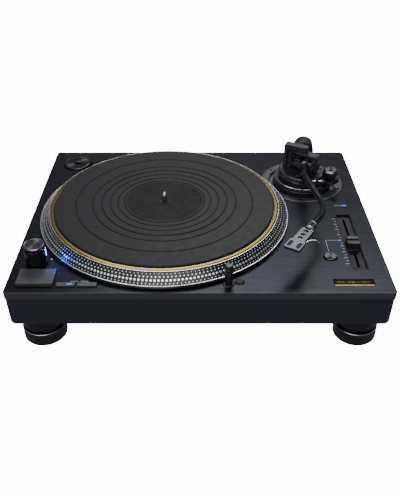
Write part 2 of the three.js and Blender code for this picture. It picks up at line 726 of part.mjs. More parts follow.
function leverAxis() {
  return heading(LEVER_HEADING - 90);
}

function leverHub(radius, halfLength) {
  const middle = new THREE.Vector3(LEVER_X, LEVER_Y, LEVER_Z);
  const reach = leverAxis().multiplyScalar(halfLength);
  return rod(middle.clone().sub(reach), middle.clone().add(reach), radius);
}

function bridgePlate() {
  const band = sector(DRUM_RADIUS + GAP, RING_RADIUS + 1, -118, 2, BRIDGE_BOTTOM, BRIDGE_TOP);
  const lobe = upright(13, BRIDGE_BOTTOM, BRIDGE_TOP, SKATE_X, SKATE_Y);
  const arm = extruded([[176, 224], [190, 231], [196, 244], [180, 252]], BRIDGE_BOTTOM, BRIDGE_TOP);
  const drum = upright(DRUM_RADIUS + GAP, 0, 30, ARM_X, ARM_Y, MEDIUM);
  return cut(join(band, lobe, arm), drum, leverHub(3.8, 6), leverNotch());
}

// A bar along the lever, from its pin outwards.
function leverBar(length, width, low, high) {
  const geometry = new THREE.BoxGeometry(length, width, high - low);
  geometry.translate(length / 2, 0, (low + high) / 2).rotateZ(radians(LEVER_HEADING));
  return solid(geometry.translate(LEVER_X, LEVER_Y, LEVER_Z));
}

// The room in which the lever swings up.
function leverNotch() {
  return leverBar(20, 6.6, -3, 10);
}

function cueLever() {
  return join(leverHub(3, 5), leverBar(18, 5, -1, 1));
}

function cueLift() {
  const bar = block(ARM_X - 15, ARM_X + 12, LIFT_Y - 1.6, LIFT_Y + 1.6, 23, 25);
  return join(bar, upright(2.5, 6, 24, ARM_X, LIFT_Y, SMALL));
}

function armRest() {
  const shelfTop = ARM_AXIS_Z - TUBE_RADIUS - 0.4;
  const y0 = CLIP_TUBE_Y - 3;
  const y1 = CLIP_TUBE_Y + 3;
  return join(
    upright(3, BRIDGE_TOP + GAP, shelfTop - 1, REST_X + 4.5, CLIP_TUBE_Y, SMALL),
    block(REST_X - 5, REST_X + 9, y0, y1, shelfTop - 3, shelfTop),
    block(REST_X + 5, REST_X + 9, y0, y1, shelfTop - 1, ARM_AXIS_Z + 2.5));
}

// The clip stands open, leaning away from the tube; closed, it lies across the tube.
function armClip() {
  const hub = rod(new THREE.Vector3(0, -3, 0), new THREE.Vector3(0, 3, 0), 2.2);
  const bar = block(-1.2, 1.2, -2, 2, 0, 14);
  const hook = block(-4.5, 1.2, -2, 2, 12, 14);
  return join(hub, bar, hook);
}

function antiSkateDial() {
  return turned([
    [0, BRIDGE_TOP + 0.4], [SKATE_RADIUS - 1.5, BRIDGE_TOP + 0.4], [SKATE_RADIUS - 1.5, BRIDGE_TOP + 3],
    [SKATE_RADIUS, BRIDGE_TOP + 4], [SKATE_RADIUS, SKATE_TOP - 2.5], [SKATE_RADIUS - 2.5, SKATE_TOP],
    [0, SKATE_TOP],
  ], SKATE_X, SKATE_Y, COARSE);
}

// ---- gimbal, drawn round the pivot with the axis of each frame along its own x ----
function extrudedFrame(outline, holes, halfDepth) {
  const shape = new THREE.Shape(outline.map(([x, z]) => new THREE.Vector2(x, z)));
  for (const hole of holes) shape.holes.push(new THREE.Path(hole.map(([x, z]) => new THREE.Vector2(x, z))));
  const geometry = new THREE.ExtrudeGeometry(shape, { depth: 2 * halfDepth, bevelEnabled: false });
  return solid(geometry.translate(0, 0, -halfDepth).rotateX(Math.PI / 2));
}

// A fixed post beside the ring, with a bar over it to the upper pivot.
function pivotBracket() {
  const foot = DRUM_TOP + GAP - ARM_AXIS_Z;
  const low = BRACKET_BAR_LOW - ARM_AXIS_Z;
  const high = BRACKET_TOP - ARM_AXIS_Z;
  const chamfer = 2.5;
  const frame = extrudedFrame([
    [-BRACKET_REACH, foot], [-BRACKET_INNER, foot], [-BRACKET_INNER, low], [0, low], [0, high],
    [-BRACKET_REACH + chamfer, high], [-BRACKET_REACH, high - chamfer],
  ], [], BRACKET_HALF_DEPTH);
  const end = upright(BRACKET_HALF_DEPTH, low, high, 0, 0);
  const bearing = upright(2.5, YOKE_TOP + GAP - ARM_AXIS_Z, low + CUT, 0, 0, SMALL);
  return join(frame, end, bearing);
}

function yokeFrame() {
  const low = YOKE_BOTTOM - ARM_AXIS_Z;
  const high = YOKE_TOP - ARM_AXIS_Z;
  const half = YOKE_HALF_WIDTH;
  const chamfer = 2;
  const innerHalf = half - YOKE_POST;
  const frame = extrudedFrame([
    [-half, low], [half, low], [half, high - chamfer], [half - chamfer, high],
    [-half + chamfer, high], [-half, high - chamfer],
  ], [[
    [-innerHalf, low + YOKE_BAR], [innerHalf, low + YOKE_BAR],
    [innerHalf, high - YOKE_BAR], [-innerHalf, high - YOKE_BAR],
  ]], YOKE_HALF_DEPTH);
  return join(frame, upright(5, -ARM_AXIS_Z + 2, low + 1, 0, 0));
}

function pivotHousing() {
  const pinEnd = YOKE_HALF_WIDTH - YOKE_POST - 0.5;
  const at = (x) => new THREE.Vector3(x, 0, 0);
  const barrel = rod(at(2.5 - pinEnd), at(pinEnd - 2.5), 3.8);
  const pin = rod(at(-pinEnd), at(pinEnd), 1.8, 10);
  const hub = rod(at(-6), at(6), HOUSING_RADIUS);
  const forward = (distance) => heading(FRONT_HEADING - TILT_AXIS_HEADING, distance);
  const neck = rod(forward(1), forward(SLEEVE_START + CUT), HOUSING_RADIUS);
  const sleeve = rod(forward(SLEEVE_START), forward(SLEEVE_END), SLEEVE_RADIUS, SMALL, SLEEVE_RADIUS - 0.7);
  const rearward = (distance) => heading(REAR_HEADING - TILT_AXIS_HEADING, distance);
  const back = rod(rearward(1), rearward(SHAFT_START), HOUSING_RADIUS);
  return join(barrel, pin, hub, neck, sleeve, back);
}

// ---- the moving arm, drawn round the pivot ----
function alongHeadshell(distance, side = 0, z = 0) {
  const forward = heading(HEADSHELL_HEADING, distance);
  const across = heading(HEADSHELL_HEADING + 90, side);
  return NUT_START.clone().add(forward).add(across).add(new THREE.Vector3(0, 0, z));
}

function armTube() {
  const at = (x, y) => new THREE.Vector3(x - ARM_X, y - ARM_Y, 0);
  const start = heading(FRONT_HEADING, SLEEVE_END + GAP);
  return tube([
    start,
    heading(FRONT_HEADING, 33),
    at(144.6, 216),
    at(145, 203),
    at(147.5, 185),
    at(152, 162),
    at(156, 140),
    at(156.3, 128),
    at(154.5, 116),
    at(150.2, 105),
    alongHeadshell(-6),
    alongHeadshell(5),
  ], TUBE_RADIUS, 26, 5);
}

function headshellNut() {
  const nut = rod(alongHeadshell(0), alongHeadshell(12), NUT_RADIUS, COARSE);
  return cut(nut, rod(alongHeadshell(-1), alongHeadshell(13), TUBE_RADIUS + 0.4));
}

function headshellConnector() {
  return join(
    rod(alongHeadshell(5.4), alongHeadshell(15), TUBE_RADIUS - 0.2),
    rod(alongHeadshell(12.4), alongHeadshell(15), NUT_RADIUS - 0.3));
}

// A prism over points [distance, side] in the headshell's own directions.
function headshellPrism(points, z0, z1) {
  const plan = points.map(([distance, side]) => {
    const place = alongHeadshell(SHELL_START + distance, side);
    return [place.x, place.y];
  });
  return extruded(plan, z0, z1);
}

function headshellOutline(shrink) {
  const back = HEADSHELL_BACK_HALF - shrink;
  const front = HEADSHELL_FRONT_HALF - shrink;
  const end = SHELL_LENGTH - shrink;
  return [[shrink, -back], [27, -back], [30, -front], [end, -front], [end, front], [30, front], [27, back],
    [shrink, back]];
}

function slot(distance, side, length, width) {
  const half = width / 2;
  const points = [];
  for (let i = 0; i <= 6; i += 1) {
    const angle = radians(-90 + 30 * i);
    points.push([distance + length / 2 - half + half * Math.cos(angle), side + half * Math.sin(angle)]);
  }
  for (let i = 0; i <= 6; i += 1) {
    const angle = radians(90 + 30 * i);
    points.push([distance - length / 2 + half + half * Math.cos(angle), side + half * Math.sin(angle)]);
  }
  return headshellPrism(points, -10, 10);
}

function headshell() {
  const body = headshellPrism(headshellOutline(0), -1.2, 2.5);
  const hollow = headshellPrism(headshellOutline(1.4), -3.5, 0.7);
  const holes = HEADSHELL_HOLES.map((distance) => {
    const place = alongHeadshell(SHELL_START + distance);
    return upright(HEADSHELL_HOLE_RADIUS, -5, 5, place.x, place.y, 12);
  });
  return cut(body, hollow, ...holes, slot(38, -5.6, 12, 4.4), slot(38, 5.6, 12, 4.4));
}

function fingerLift() {
  const at = (distance, side, z) => alongHeadshell(SHELL_START + distance, side, z);
  return tube([
    at(24, HEADSHELL_BACK_HALF + 0.9, 0.6),
    at(20.5, 11, 1.2),
    at(17, 14.5, 1.5),
    at(15, 18.5, 0.8),
    at(15, 21.5, -1.6),
  ], 0.9, 8, 3);
}

function rearShaft() {
  return rod(heading(REAR_HEADING, SHAFT_START + GAP), heading(REAR_HEADING, SHAFT_END), SHAFT_RADIUS);
}

// A ring on the rear shaft.
function shaftSleeve(from, to, radius) {
  const outer = rod(heading(REAR_HEADING, from), heading(REAR_HEADING, to), radius, COARSE);
  const bore = rod(heading(REAR_HEADING, from - CUT), heading(REAR_HEADING, to + CUT), SHAFT_RADIUS + 0.5);
  return cut(outer, bore);
}

function counterweight() {
  return join(
    shaftSleeve(WEIGHT_START, WEIGHT_END, WEIGHT_RADIUS),
    shaftSleeve(WEIGHT_END - CUT, WEIGHT_END + 2.5, WEIGHT_RADIUS - 2));
}

function forceDial() {
  return shaftSleeve(DIAL_START, WEIGHT_START - 0.4, WEIGHT_RADIUS + 0.3);
}

// ---- assembly ----
const deck = new THREE.Group();
deck.position.set(0, -PLINTH_DEPTH / 2, DECK_HEIGHT);
deck.add(
  piece('top_plate', topPlate(), blackAluminium()),
  piece('base_shell', baseShell(), blackPaint()),
  piece('bottom_cover', bottomCover(), blackRubber()),
  piece('chassis_frame', chassisFrame(), castAluminium()),
  piece('motor_stator', motorStator(), castAluminium()),
  piece('bearing_housing', bearingHousing(), steel()),
  piece('main_board', mainBoard(), finish(0x1d5a3a, 0.6, 0)),
  piece('power_supply', powerSupply(), finish(0x1d5a3a, 0.6, 0)),
  piece('terminal_panel', terminalPanel(), blackPlastic()),
  piece('ac_inlet', acInlet(), blackPlastic()),
  piece('phono_jack_left', phonoJack(PANEL.x + 5), gold()),
  piece('phono_jack_right', phonoJack(PANEL.x + 23), gold()),
  piece('ground_terminal', groundTerminal(), gold()),
);
for (const [place, x, y] of footPlaces()) {
  deck.add(piece(`foot_${place}`, footCup(x, y), blackPaint()));
}
deck.add(
  piece('platter', platter(), brightAluminium()),
  piece('platter_trim_ring', trimRing(), gold()),
  piece('motor_rotor', motorRotor(), steel()),
  piece('spindle', spindle(), steel()),
  piece('rubber_mat', rubberMat(), blackRubber()),
  piece('adaptor_45', adaptor(), blackAluminium()),
  piece('strobe_post', powerPost(), blackPlastic()),
  piece('strobe_window', strobeBlock(0), blueLens()),
  piece('power_knob', powerKnob(), blackAluminium()),
  piece('target_light_collar', targetLightCollar(), blackAluminium()),
  piece('target_light', targetLight(), blackAluminium()),
  piece('pitch_fader_bezel', faderBezel(), blackPlastic()),
  piece('pitch_potentiometer', faderPotentiometer(), steel()),
  piece('pitch_slider', pitchSlider(), blackPlastic()),
  piece('nameplate', nameplate(), gold()),
);
for (const [name, x, y, width, depth, height] of KEYS) {
  deck.add(piece(name, pad(width, depth, 0.8, -KEY_DEPTH, height, x, y), blackPlastic()));
}
for (const [name, x, y, radius, height] of ROUND_KEYS) {
  deck.add(piece(name, upright(radius, -KEY_DEPTH, height, x, y), brightAluminium()));
}
deck.add(
  piece('arm_flange', armFlange(), blackPaint()),
  piece('height_ring', heightRing(), blackPaint()),
  piece('arm_drum', armDrum(), blackPaint()),
  piece('bridge_plate', bridgePlate(), blackPaint()),
  piece('arm_rest', armRest(), blackPlastic()),
  piece('cue_lever', cueLever(), blackPaint()),
  piece('cue_lift', cueLift(), blackPlastic()),
  piece('anti_skate_dial', antiSkateDial(), blackAluminium()),
);

const clip = piece('arm_clip', armClip(), blackPlastic());
clip.position.set(REST_X + 7, CLIP_TUBE_Y, ARM_AXIS_Z + CLIP_RISE);
clip.rotation.y = radians(CLIP_LEAN);
deck.add(clip);

const arm = new THREE.Group();
arm.position.set(ARM_X, ARM_Y, ARM_AXIS_Z);
const bracket = piece('pivot_bracket', pivotBracket(), blackPaint());
bracket.rotation.z = radians(BRACKET_HEADING);
const gimbal = new THREE.Group();
gimbal.rotation.z = radians(TILT_AXIS_HEADING);
gimbal.add(
  piece('yoke_frame', yokeFrame(), blackPaint()),
  piece('pivot_housing', pivotHousing(), blackAluminium()),
);
arm.add(
  bracket,
  gimbal,
  piece('arm_tube', armTube(), blackAluminium()),
  piece('headshell_nut', headshellNut(), blackAluminium()),
  piece('headshell_connector', headshellConnector(), blackAluminium()),
  piece('headshell', headshell(), brightAluminium()),
  piece('finger_lift', fingerLift(), steel()),
  piece('rear_shaft', rearShaft(), blackAluminium()),
  piece('counterweight', counterweight(), blackAluminium()),
  piece('force_dial', forceDial(), blackPlastic()),
);
deck.add(arm);

const turntable = new THREE.Group();
turntable.add(deck);
export default turntable;
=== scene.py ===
"""A direct-drive turntable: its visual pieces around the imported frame.

Sizes are in millimetres in the deck's own coordinates, as the design is drawn: x from the
centre line, y back from the front edge and h up from the top face of the deck. place() turns
them into the row frame, from the deck plate's box.
"""
import json
import math

import bmesh
import bpy
from mathutils import Matrix, Vector


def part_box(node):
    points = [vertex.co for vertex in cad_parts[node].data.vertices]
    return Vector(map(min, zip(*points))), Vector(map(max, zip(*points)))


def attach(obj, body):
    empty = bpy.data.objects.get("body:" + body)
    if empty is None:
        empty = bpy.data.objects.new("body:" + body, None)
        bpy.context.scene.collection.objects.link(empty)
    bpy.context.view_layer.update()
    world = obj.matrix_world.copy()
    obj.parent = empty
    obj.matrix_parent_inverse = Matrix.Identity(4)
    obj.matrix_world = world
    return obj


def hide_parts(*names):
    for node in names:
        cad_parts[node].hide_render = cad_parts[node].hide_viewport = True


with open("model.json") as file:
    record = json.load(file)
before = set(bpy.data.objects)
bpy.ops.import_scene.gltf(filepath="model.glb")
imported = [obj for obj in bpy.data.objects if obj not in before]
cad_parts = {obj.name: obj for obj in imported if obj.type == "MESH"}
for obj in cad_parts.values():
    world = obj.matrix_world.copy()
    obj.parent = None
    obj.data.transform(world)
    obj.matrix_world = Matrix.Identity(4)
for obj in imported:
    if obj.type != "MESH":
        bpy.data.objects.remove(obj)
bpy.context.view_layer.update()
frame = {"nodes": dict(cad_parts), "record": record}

MM = 0.001
DECK_LOW, DECK_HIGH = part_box("top_plate")
FRONT = DECK_LOW.y
TOP = DECK_HIGH.z
UP = Vector((0, 0, 1))


def place(x, y, h):
    """A point of the deck's coordinates, in metres, in the row frame."""
    return Vector((x * MM, FRONT + y * MM, TOP + h * MM))


def centre(node):
    low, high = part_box(node)
    return (low + high) / 2


def deck_centre(node):
    """The middle of a node's box in the deck's coordinates: x, y and h."""
    middle = centre(node)
    return middle.x / MM, (middle.y - FRONT) / MM, (middle.z - TOP) / MM


def level(node, which):
    """The height of a node's lowest (0) or highest (1) point above the deck."""
    return (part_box(node)[which].z - TOP) / MM


def levels(node):
    """The heights of a node's lowest and highest points above the deck."""
    return level(node, 0), level(node, 1)


def half_width(node):
    """Half a node's width along X, in millimetres; a round piece's radius."""
    low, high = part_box(node)
    return (high.x - low.x) / 2 / MM


def heading(degrees):
    return Vector((math.cos(math.radians(degrees)), math.sin(math.radians(degrees)), 0))


# ---------------------------------------------------------------- materials
def principled(material):
    return material.node_tree.nodes["Principled BSDF"]


def shader(name, color, roughness, metallic=0.0, **sockets):
    material = bpy.data.materials.new(name)
    material.use_nodes = True
    bsdf = principled(material)
    bsdf.inputs["Base Color"].default_value = (*color, 1)
    bsdf.inputs["Roughness"].default_value = roughness
    bsdf.inputs["Metallic"].default_value = metallic
    for key, value in sockets.items():
        bsdf.inputs[key.replace("_", " ")].default_value = value
    return material


def node(material, kind, inputs=(), **settings):
    """A new node, with its settings and then the values of its named inputs."""
    made = material.node_tree.nodes.new(kind)
    for key, value in settings.items():
        setattr(made, key, value)
    for key, value in dict(inputs).items():
        made.inputs[key].default_value = value
    return made


def link(material, out, into):
    material.node_tree.links.new(out, into)


def noise(material, scale, stretch=(1, 1, 1), detail=4.0):
    """A noise in the object's own coordinates, scale in cycles per metre."""
    coordinates = node(material, "ShaderNodeTexCoord")
    mapping = node(material, "ShaderNodeMapping", {"Scale": [scale * part for part in stretch]})
    texture = node(material, "ShaderNodeTexNoise", {"Scale": 1.0, "Detail": detail})
    link(material, coordinates.outputs["Object"], mapping.inputs["Vector"])
    link(material, mapping.outputs["Vector"], texture.inputs["Vector"])
    return texture.outputs["Fac"]


def remap(material, value, low, high):
    """The middle half of a noise's values, spread from low to high."""
    spread = {"From Min": 0.25, "From Max": 0.75, "To Min": low, "To Max": high}
    made = node(material, "ShaderNodeMapRange", spread)
    link(material, value, made.inputs["Value"])
    return made.outputs["Result"]


def vary_color(material, value, dark, light):
    mix = node(material, "ShaderNodeMix", {"A": (*dark, 1), "B": (*light, 1)}, data_type="RGBA")
    link(material, value, mix.inputs["Factor"])
    link(material, mix.outputs["Result"], principled(material).inputs["Base Color"])


def vary_roughness(material, value, low, high):
    link(material, remap(material, value, low, high), principled(material).inputs["Roughness"])


def bump(material, value, depth_mm, strength=1.0):
    made = node(material, "ShaderNodeBump")
    made.inputs["Distance"].default_value = depth_mm * MM
    made.inputs["Strength"].default_value = strength
    bsdf = principled(material)
    before = bsdf.inputs["Normal"].links
    if before:
        link(material, before[0].from_socket, made.inputs["Normal"])
    link(material, value, made.inputs["Height"])
    link(material, made.outputs["Normal"], bsdf.inputs["Normal"])


def rings(material, per_metre):
    """Concentric rings round the object's own Z axis."""
    coordinates = node(material, "ShaderNodeTexCoord")
    wave = node(material, "ShaderNodeTexWave", wave_type="RINGS", rings_direction="Z")
    wave.inputs["Scale"].default_value = per_metre / 20 * 2 * math.pi
    wave.inputs["Distortion"].default_value = 0.0
    link(material, coordinates.outputs["Object"], wave.inputs["Vector"])
    return wave.outputs["Fac"]


def brushed(name, dark, light, roughness, stretch, bump_mm=0.004, metallic=0.9):
    """Hairline brushing: fine and broad streaks along the stretched axis."""
    material = shader(name, dark, roughness, metallic)
    fine = noise(material, 1800, stretch)
    broad = noise(material, 620, stretch)
    vary_color(material, broad, dark, light)
    vary_roughness(material, fine, roughness - 0.07, roughness + 0.09)
    bump(material, fine, bump_mm)
    return material


def painted(name, dark, light, roughness, grain=1500, bump_mm=0.01, metallic=0.0, **sockets):
    """Paint or moulded plastic: a fine grain, and a little cloudiness in colour and gloss."""
    material = shader(name, dark, roughness, metallic, **sockets)
    cloud = noise(material, 30)
    vary_color(material, cloud, dark, light)
    vary_roughness(material, noise(material, 120), roughness - 0.05, roughness + 0.07)
    bump(material, noise(material, grain, detail=2.0), bump_mm)
    return material


def spun(name, dark, light, roughness, per_metre=900, bump_mm=0.006, metallic=1.0, stretch=0.92):
    """Turned on a lathe: rings round the piece's axis, and the bow-tie highlight they give."""
    material = shader(name, dark, roughness, metallic, Anisotropic=stretch)
    vary_color(material, noise(material, 400), dark, light)
    bump(material, rings(material, per_metre), bump_mm)
    tangent = node(material, "ShaderNodeTangent", direction_type="RADIAL", axis="Z")
    link(material, tangent.outputs["Tangent"], principled(material).inputs["Tangent"])
    return material


def glowing(name, color, strength):
    material = shader(name, color, 0.2, 0.0)
    bsdf = principled(material)
    bsdf.inputs["Emission Color"].default_value = (*color, 1)
    bsdf.inputs["Emission Strength"].default_value = strength
    return material


ALONG_X = (0.02, 1, 1)
DECK = brushed("deck_brushed", (0.003, 0.0033, 0.0052), (0.026, 0.0276, 0.0385), 0.32, ALONG_X, 0.012)
# A lighter copy of the deck's brushed finish for the plate's rim and side faces: a painted highlight along
# its edges.
DECK_RIM_HIGHLIGHT = brushed("deck_rim_highlight", (0.09, 0.091, 0.105), (0.12, 0.122, 0.138), 0.42, ALONG_X)
SHELL = painted("shell_black", (0.0105, 0.0106, 0.0215), (0.0132, 0.0134, 0.0265), 0.5)
RUBBER = painted("rubber_black", (0.011, 0.011, 0.012), (0.017, 0.017, 0.018), 0.72, 2500, 0.012)
FOOT = painted("foot_black", (0.0042, 0.0043, 0.0072), (0.006, 0.0062, 0.0102), 0.42)
MATTE = painted("moulding_black", (0.0045, 0.0049, 0.0072), (0.007, 0.0075, 0.0108), 0.55, 3000, 0.008,
                **{"Specular IOR Level": 0.3})
KEY_TOP = painted("key_black", (0.04, 0.0405, 0.046), (0.048, 0.0485, 0.054), 0.42, 3000, 0.006)
GLOSS = painted("gloss_black", (0.004, 0.004, 0.005), (0.006, 0.006, 0.007), 0.12, 300, 0.001)
SATIN = painted("satin_black", (0.01, 0.0102, 0.0135), (0.016, 0.0162, 0.021), 0.3, 2500, 0.004)
TUBE = painted("tube_black", (0.038, 0.039, 0.046), (0.05, 0.051, 0.06), 0.17, 400, 0.001, 0.95)
BAND = painted("band_black", (0.004, 0.004, 0.005), (0.006, 0.006, 0.007), 0.3, 1500, 0.002)
SPUN_BLACK = spun("spun_black", (0.04, 0.041, 0.046), (0.06, 0.061, 0.067), 0.24)
SPUN_BRIGHT = spun("spun_bright", (0.5, 0.51, 0.53), (0.62, 0.63, 0.65), 0.22)
LIP = spun("lip_bright", (0.55, 0.56, 0.59), (0.68, 0.69, 0.72), 0.22, 600, 0.001, 1.0, 0.4)
GOLD = spun("gold_ring", (0.24, 0.18, 0.05), (0.31, 0.235, 0.07), 0.24, 700, 0.001, 1.0, 0.4)
DOT = painted("dot_bright", (0.85, 0.86, 0.88), (0.93, 0.94, 0.96), 0.3, 800, 0.002, 1.0)
SILVER = painted("silver_satin", (0.3, 0.31, 0.335), (0.38, 0.39, 0.42), 0.4, 2500, 0.004, 1.0)
STEEL = painted("steel_bright", (0.55, 0.56, 0.58), (0.65, 0.66, 0.68), 0.2, 600, 0.002, 1.0)
GOLD_PIN = painted("gold_pin", (0.75, 0.52, 0.2), (0.85, 0.6, 0.25), 0.22, 800, 0.002, 1.0)
CAST = painted("cast_metal", (0.32, 0.33, 0.34), (0.4, 0.41, 0.42), 0.55, 900, 0.03, 1.0)
BOARD = painted("board_green", (0.01, 0.09, 0.04), (0.015, 0.12, 0.055), 0.4, 900, 0.01)
PRINT = painted("print_white", (0.78, 0.79, 0.82), (0.88, 0.89, 0.92), 0.5, 2000, 0.001)
NEEDLE_WHITE = painted("moulding_white", (0.6, 0.59, 0.55), (0.7, 0.69, 0.65), 0.4, 1500, 0.003)
RED = painted("moulding_red", (0.25, 0.01, 0.01), (0.32, 0.015, 0.015), 0.4)
MAT = painted("mat_rubber", (0.0105, 0.0108, 0.0125), (0.0145, 0.0148, 0.0168), 0.5, 1200, 0.012,
              **{"Specular IOR Level": 0.2})
KNOB_TOP = spun("spun_knob", (0.15, 0.153, 0.165), (0.22, 0.223, 0.238), 0.17)
BADGE_DARK = painted("badge_dark", (0.002, 0.0018, 0.0014), (0.0035, 0.003, 0.0022), 0.6, 1500, 0.01,
                     **{"Specular IOR Level": 0.08})
BADGE_GOLD = painted("badge_gold", (0.22, 0.155, 0.035), (0.28, 0.2, 0.05), 0.4, 900, 0.003, 1.0)
LENS = painted("lens_clear", (0.5, 0.55, 0.6), (0.56, 0.6, 0.66), 0.08, 300, 0.0005)
FLANGE = painted("flange_satin", (0.026, 0.0268, 0.037), (0.034, 0.035, 0.047), 0.36, 2500, 0.004)
# A bright metal for thin strips laid over rims: a painted highlight.
RIM_HIGHLIGHT = painted("painted_rim_highlight", (0.2, 0.205, 0.22), (0.27, 0.275, 0.29), 0.25, 900, 0.002, 1.0)
PRINT_GREY = painted("print_grey", (0.16, 0.16, 0.17), (0.2, 0.2, 0.21), 0.5, 2000, 0.001)
DIAL_TOP = spun("spun_dial", (0.1, 0.102, 0.112), (0.15, 0.152, 0.165), 0.2)
YOKE = painted("yoke_satin", (0.021, 0.0214, 0.03), (0.028, 0.0285, 0.04), 0.34, 2500, 0.005)
SLEEVE = spun("sleeve_grey", (0.12, 0.123, 0.135), (0.17, 0.173, 0.188), 0.22, 500, 0.002)
WEIGHT = painted("weight_satin", (0.03, 0.0307, 0.037), (0.04, 0.0408, 0.048), 0.28, 1800, 0.004, 0.6)
SHELL_SILVER = painted("headshell_silver", (0.085, 0.089, 0.105), (0.11, 0.115, 0.135), 0.36, 2500, 0.004,
                       1.0)
LAMP = glowing("strobe_glow", (0.07, 0.2, 1.0), 24.0)
LED = glowing("led_glow", (0.05, 0.24, 0.75), 0.75)


# ---------------------------------------------------------------- mesh helpers
def add_object(name, data):
    made = bpy.data.objects.new(name, data)
    bpy.context.scene.collection.objects.link(made)
    return made


def finish_piece(name, mesh, material, body, slot, *replaced, matrix=None, soft=32):
    for face in mesh.polygons:
        face.use_smooth = True
    piece = add_object(name, mesh)
    mesh.materials.clear()
    mesh.materials.append(material)
    if matrix is not None:
        piece.matrix_world = matrix
    mark_sharp(mesh, soft)
    weights = piece.modifiers.new("weighted_normals", "WEIGHTED_NORMAL")
    weights.keep_sharp = True
    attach(piece, body)
    if replaced:
        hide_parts(*replaced)
    return piece


def mark_sharp(mesh, degrees):
    work = bmesh.new()
    work.from_mesh(mesh)
    for edge in work.edges:
        edge.smooth = len(edge.link_faces) == 2 and edge.calc_face_angle() < math.radians(degrees)
    work.to_mesh(mesh)
    work.free()


def rounded(points, radius, closed, steps=3):
    """The points with each corner rounded by up to radius."""
    out = []
    count = len(points)
    for i, corner in enumerate(points):
        corner = Vector(corner)
        if not closed and i in (0, count - 1):
            out.append(corner)
            continue
        before = Vector(points[i - 1]) - corner
        after = Vector(points[(i + 1) % count]) - corner
        reach = min(radius, before.length * 0.45, after.length * 0.45)
        if reach < 1e-4 or before.angle(after) > math.radians(172):
            out.append(corner)
            continue
        start = corner + before.normalized() * reach
        end = corner + after.normalized() * reach
        for k in range(steps + 1):
            t = k / steps
            out.append((1 - t) ** 2 * start + 2 * t * (1 - t) * corner + t * t * end)
    return out


def lathe_mesh(name, profile, segments, soften):
    """A closed solid of revolution round Z, from [radius, height] points in millimetres."""
    on_axis = profile[0][0] == 0
    points = rounded(profile, soften, not on_axis)
    work = bmesh.new()
    loops = []
    angles = [2 * math.pi * k / segments for k in range(segments)]
    for radius, height in points:
        if radius < 1e-6:
            loops.append([work.verts.new((0, 0, height * MM))])
            continue
        loops.append([
            work.verts.new((radius * MM * math.cos(angle), radius * MM * math.sin(angle), height * MM))
            for angle in angles])
    pairs = list(zip(loops, loops[1:]))
    if not on_axis:
        pairs.append((loops[-1], loops[0]))
    for low, high in pairs:
        for k in range(segments):
            after = (k + 1) % segments
            if len(low) == 1:
                work.faces.new((low[0], high[after], high[k]))
            elif len(high) == 1:
                work.faces.new((low[k], low[after], high[0]))
            else:
                work.faces.new((low[k], low[after], high[after], high[k]))
    return to_mesh(name, work)


def skin(work, loops):
    """Closes a solid through loops of corners: its two ends, then the sides between them."""
    work.faces.new(loops[0])
    work.faces.new(loops[-1])
    count = len(loops[0])
    for low, high in zip(loops, loops[1:]):
        for k in range(count):
            after = (k + 1) % count
            work.faces.new((low[k], low[after], high[after], high[k]))


def circle(radius, sides=36):
    return [(radius * math.cos(2 * math.pi * k / sides), radius * math.sin(2 * math.pi * k / sides))
            for k in range(sides)]


def to_mesh(name, work):
    bmesh.ops.recalc_face_normals(work, faces=work.faces)
    mesh = bpy.data.meshes.new(name)
    work.to_mesh(mesh)
    work.free()
    return mesh


def turn_to(origin, direction):
    return Matrix.Translation(origin) @ UP.rotation_difference(direction).to_matrix().to_4x4()


def lathe(name, profile, origin, material, body, slot, *replaced, direction=UP, segments=96, soften=0.3):
    mesh = lathe_mesh(name, profile, segments, soften)
    return finish_piece(name, mesh, material, body, slot, *replaced, matrix=turn_to(origin, direction))


def slab(inner, outer, low, high):
    """The profile of a plain ring, or of a disc when inner is 0."""
    return [[inner, low], [outer, low], [outer, high], [inner, high]]


def rectangle(width, depth, corner, steps=6):
    """An outline with round corners, round its own middle, in millimetres."""
    points = []
    for sx, sy, start in ((1, 1, 0), (-1, 1, 90), (-1, -1, 180), (1, -1, 270)):
        for k in range(steps + 1):
            angle = math.radians(start + 90 * k / steps)
            points.append((sx * (width / 2 - corner) + corner * math.cos(angle),
                           sy * (depth / 2 - corner) + corner * math.sin(angle)))
    return points


def prism_mesh(name, outline, low, high, bevel=0.0, both=True, steps=2):
    """An upright prism over an outline, its rims rounded by bevel, in millimetres."""
    work = bmesh.new()
    bottom = [work.verts.new((x * MM, y * MM, low * MM)) for x, y in outline]
    top = [work.verts.new((x * MM, y * MM, high * MM)) for x, y in outline]
    skin(work, [bottom, top])
    bmesh.ops.recalc_face_normals(work, faces=work.faces)
    if bevel > 0:
        levels = {high} | ({low} if both else set())
        rims = [edge for edge in work.edges
                if any(all(abs(v.co.z - z * MM) < 1e-7 for v in edge.verts) for z in levels)]
        bmesh.ops.bevel(work, geom=rims, offset=bevel * MM, segments=steps, profile=0.5, affect="EDGES")
    return to_mesh(name, work)


def loft_mesh(name, sections):
    """A solid through outlines of equal length, each (outline, height), in millimetres."""
    work = bmesh.new()
    loops = [[work.verts.new((x * MM, y * MM, h * MM)) for x, y in outline] for outline, h in sections]
    skin(work, loops)
    return to_mesh(name, work)


def sweep_mesh(name, points, radius, sides=16, steps=10, flatten=1.0, ends=None):
    """A round bar along a smooth curve through points in metres; ends scales each end's radius."""
    path = smooth_path(points, steps)
    work = bmesh.new()
    loops = []
    normal = None
    for k, point in enumerate(path):
        ahead = path[min(k + 1, len(path) - 1)] - path[max(k - 1, 0)]
        ahead.normalize()
        if normal is None:
            normal = UP.cross(ahead).normalized()
        normal = (normal - ahead * normal.dot(ahead)).normalized()
        other = ahead.cross(normal)
        t = k / (len(path) - 1)
        scale = 1.0 if ends is None else ends[0] + (ends[1] - ends[0]) * t
        loop = []
        for s in range(sides):
            angle = 2 * math.pi * s / sides
            side = normal * math.cos(angle) + other * (math.sin(angle) * flatten)
            loop.append(work.verts.new(point + side * radius * scale * MM))
        loops.append(loop)
    skin(work, loops)
    return to_mesh(name, work)


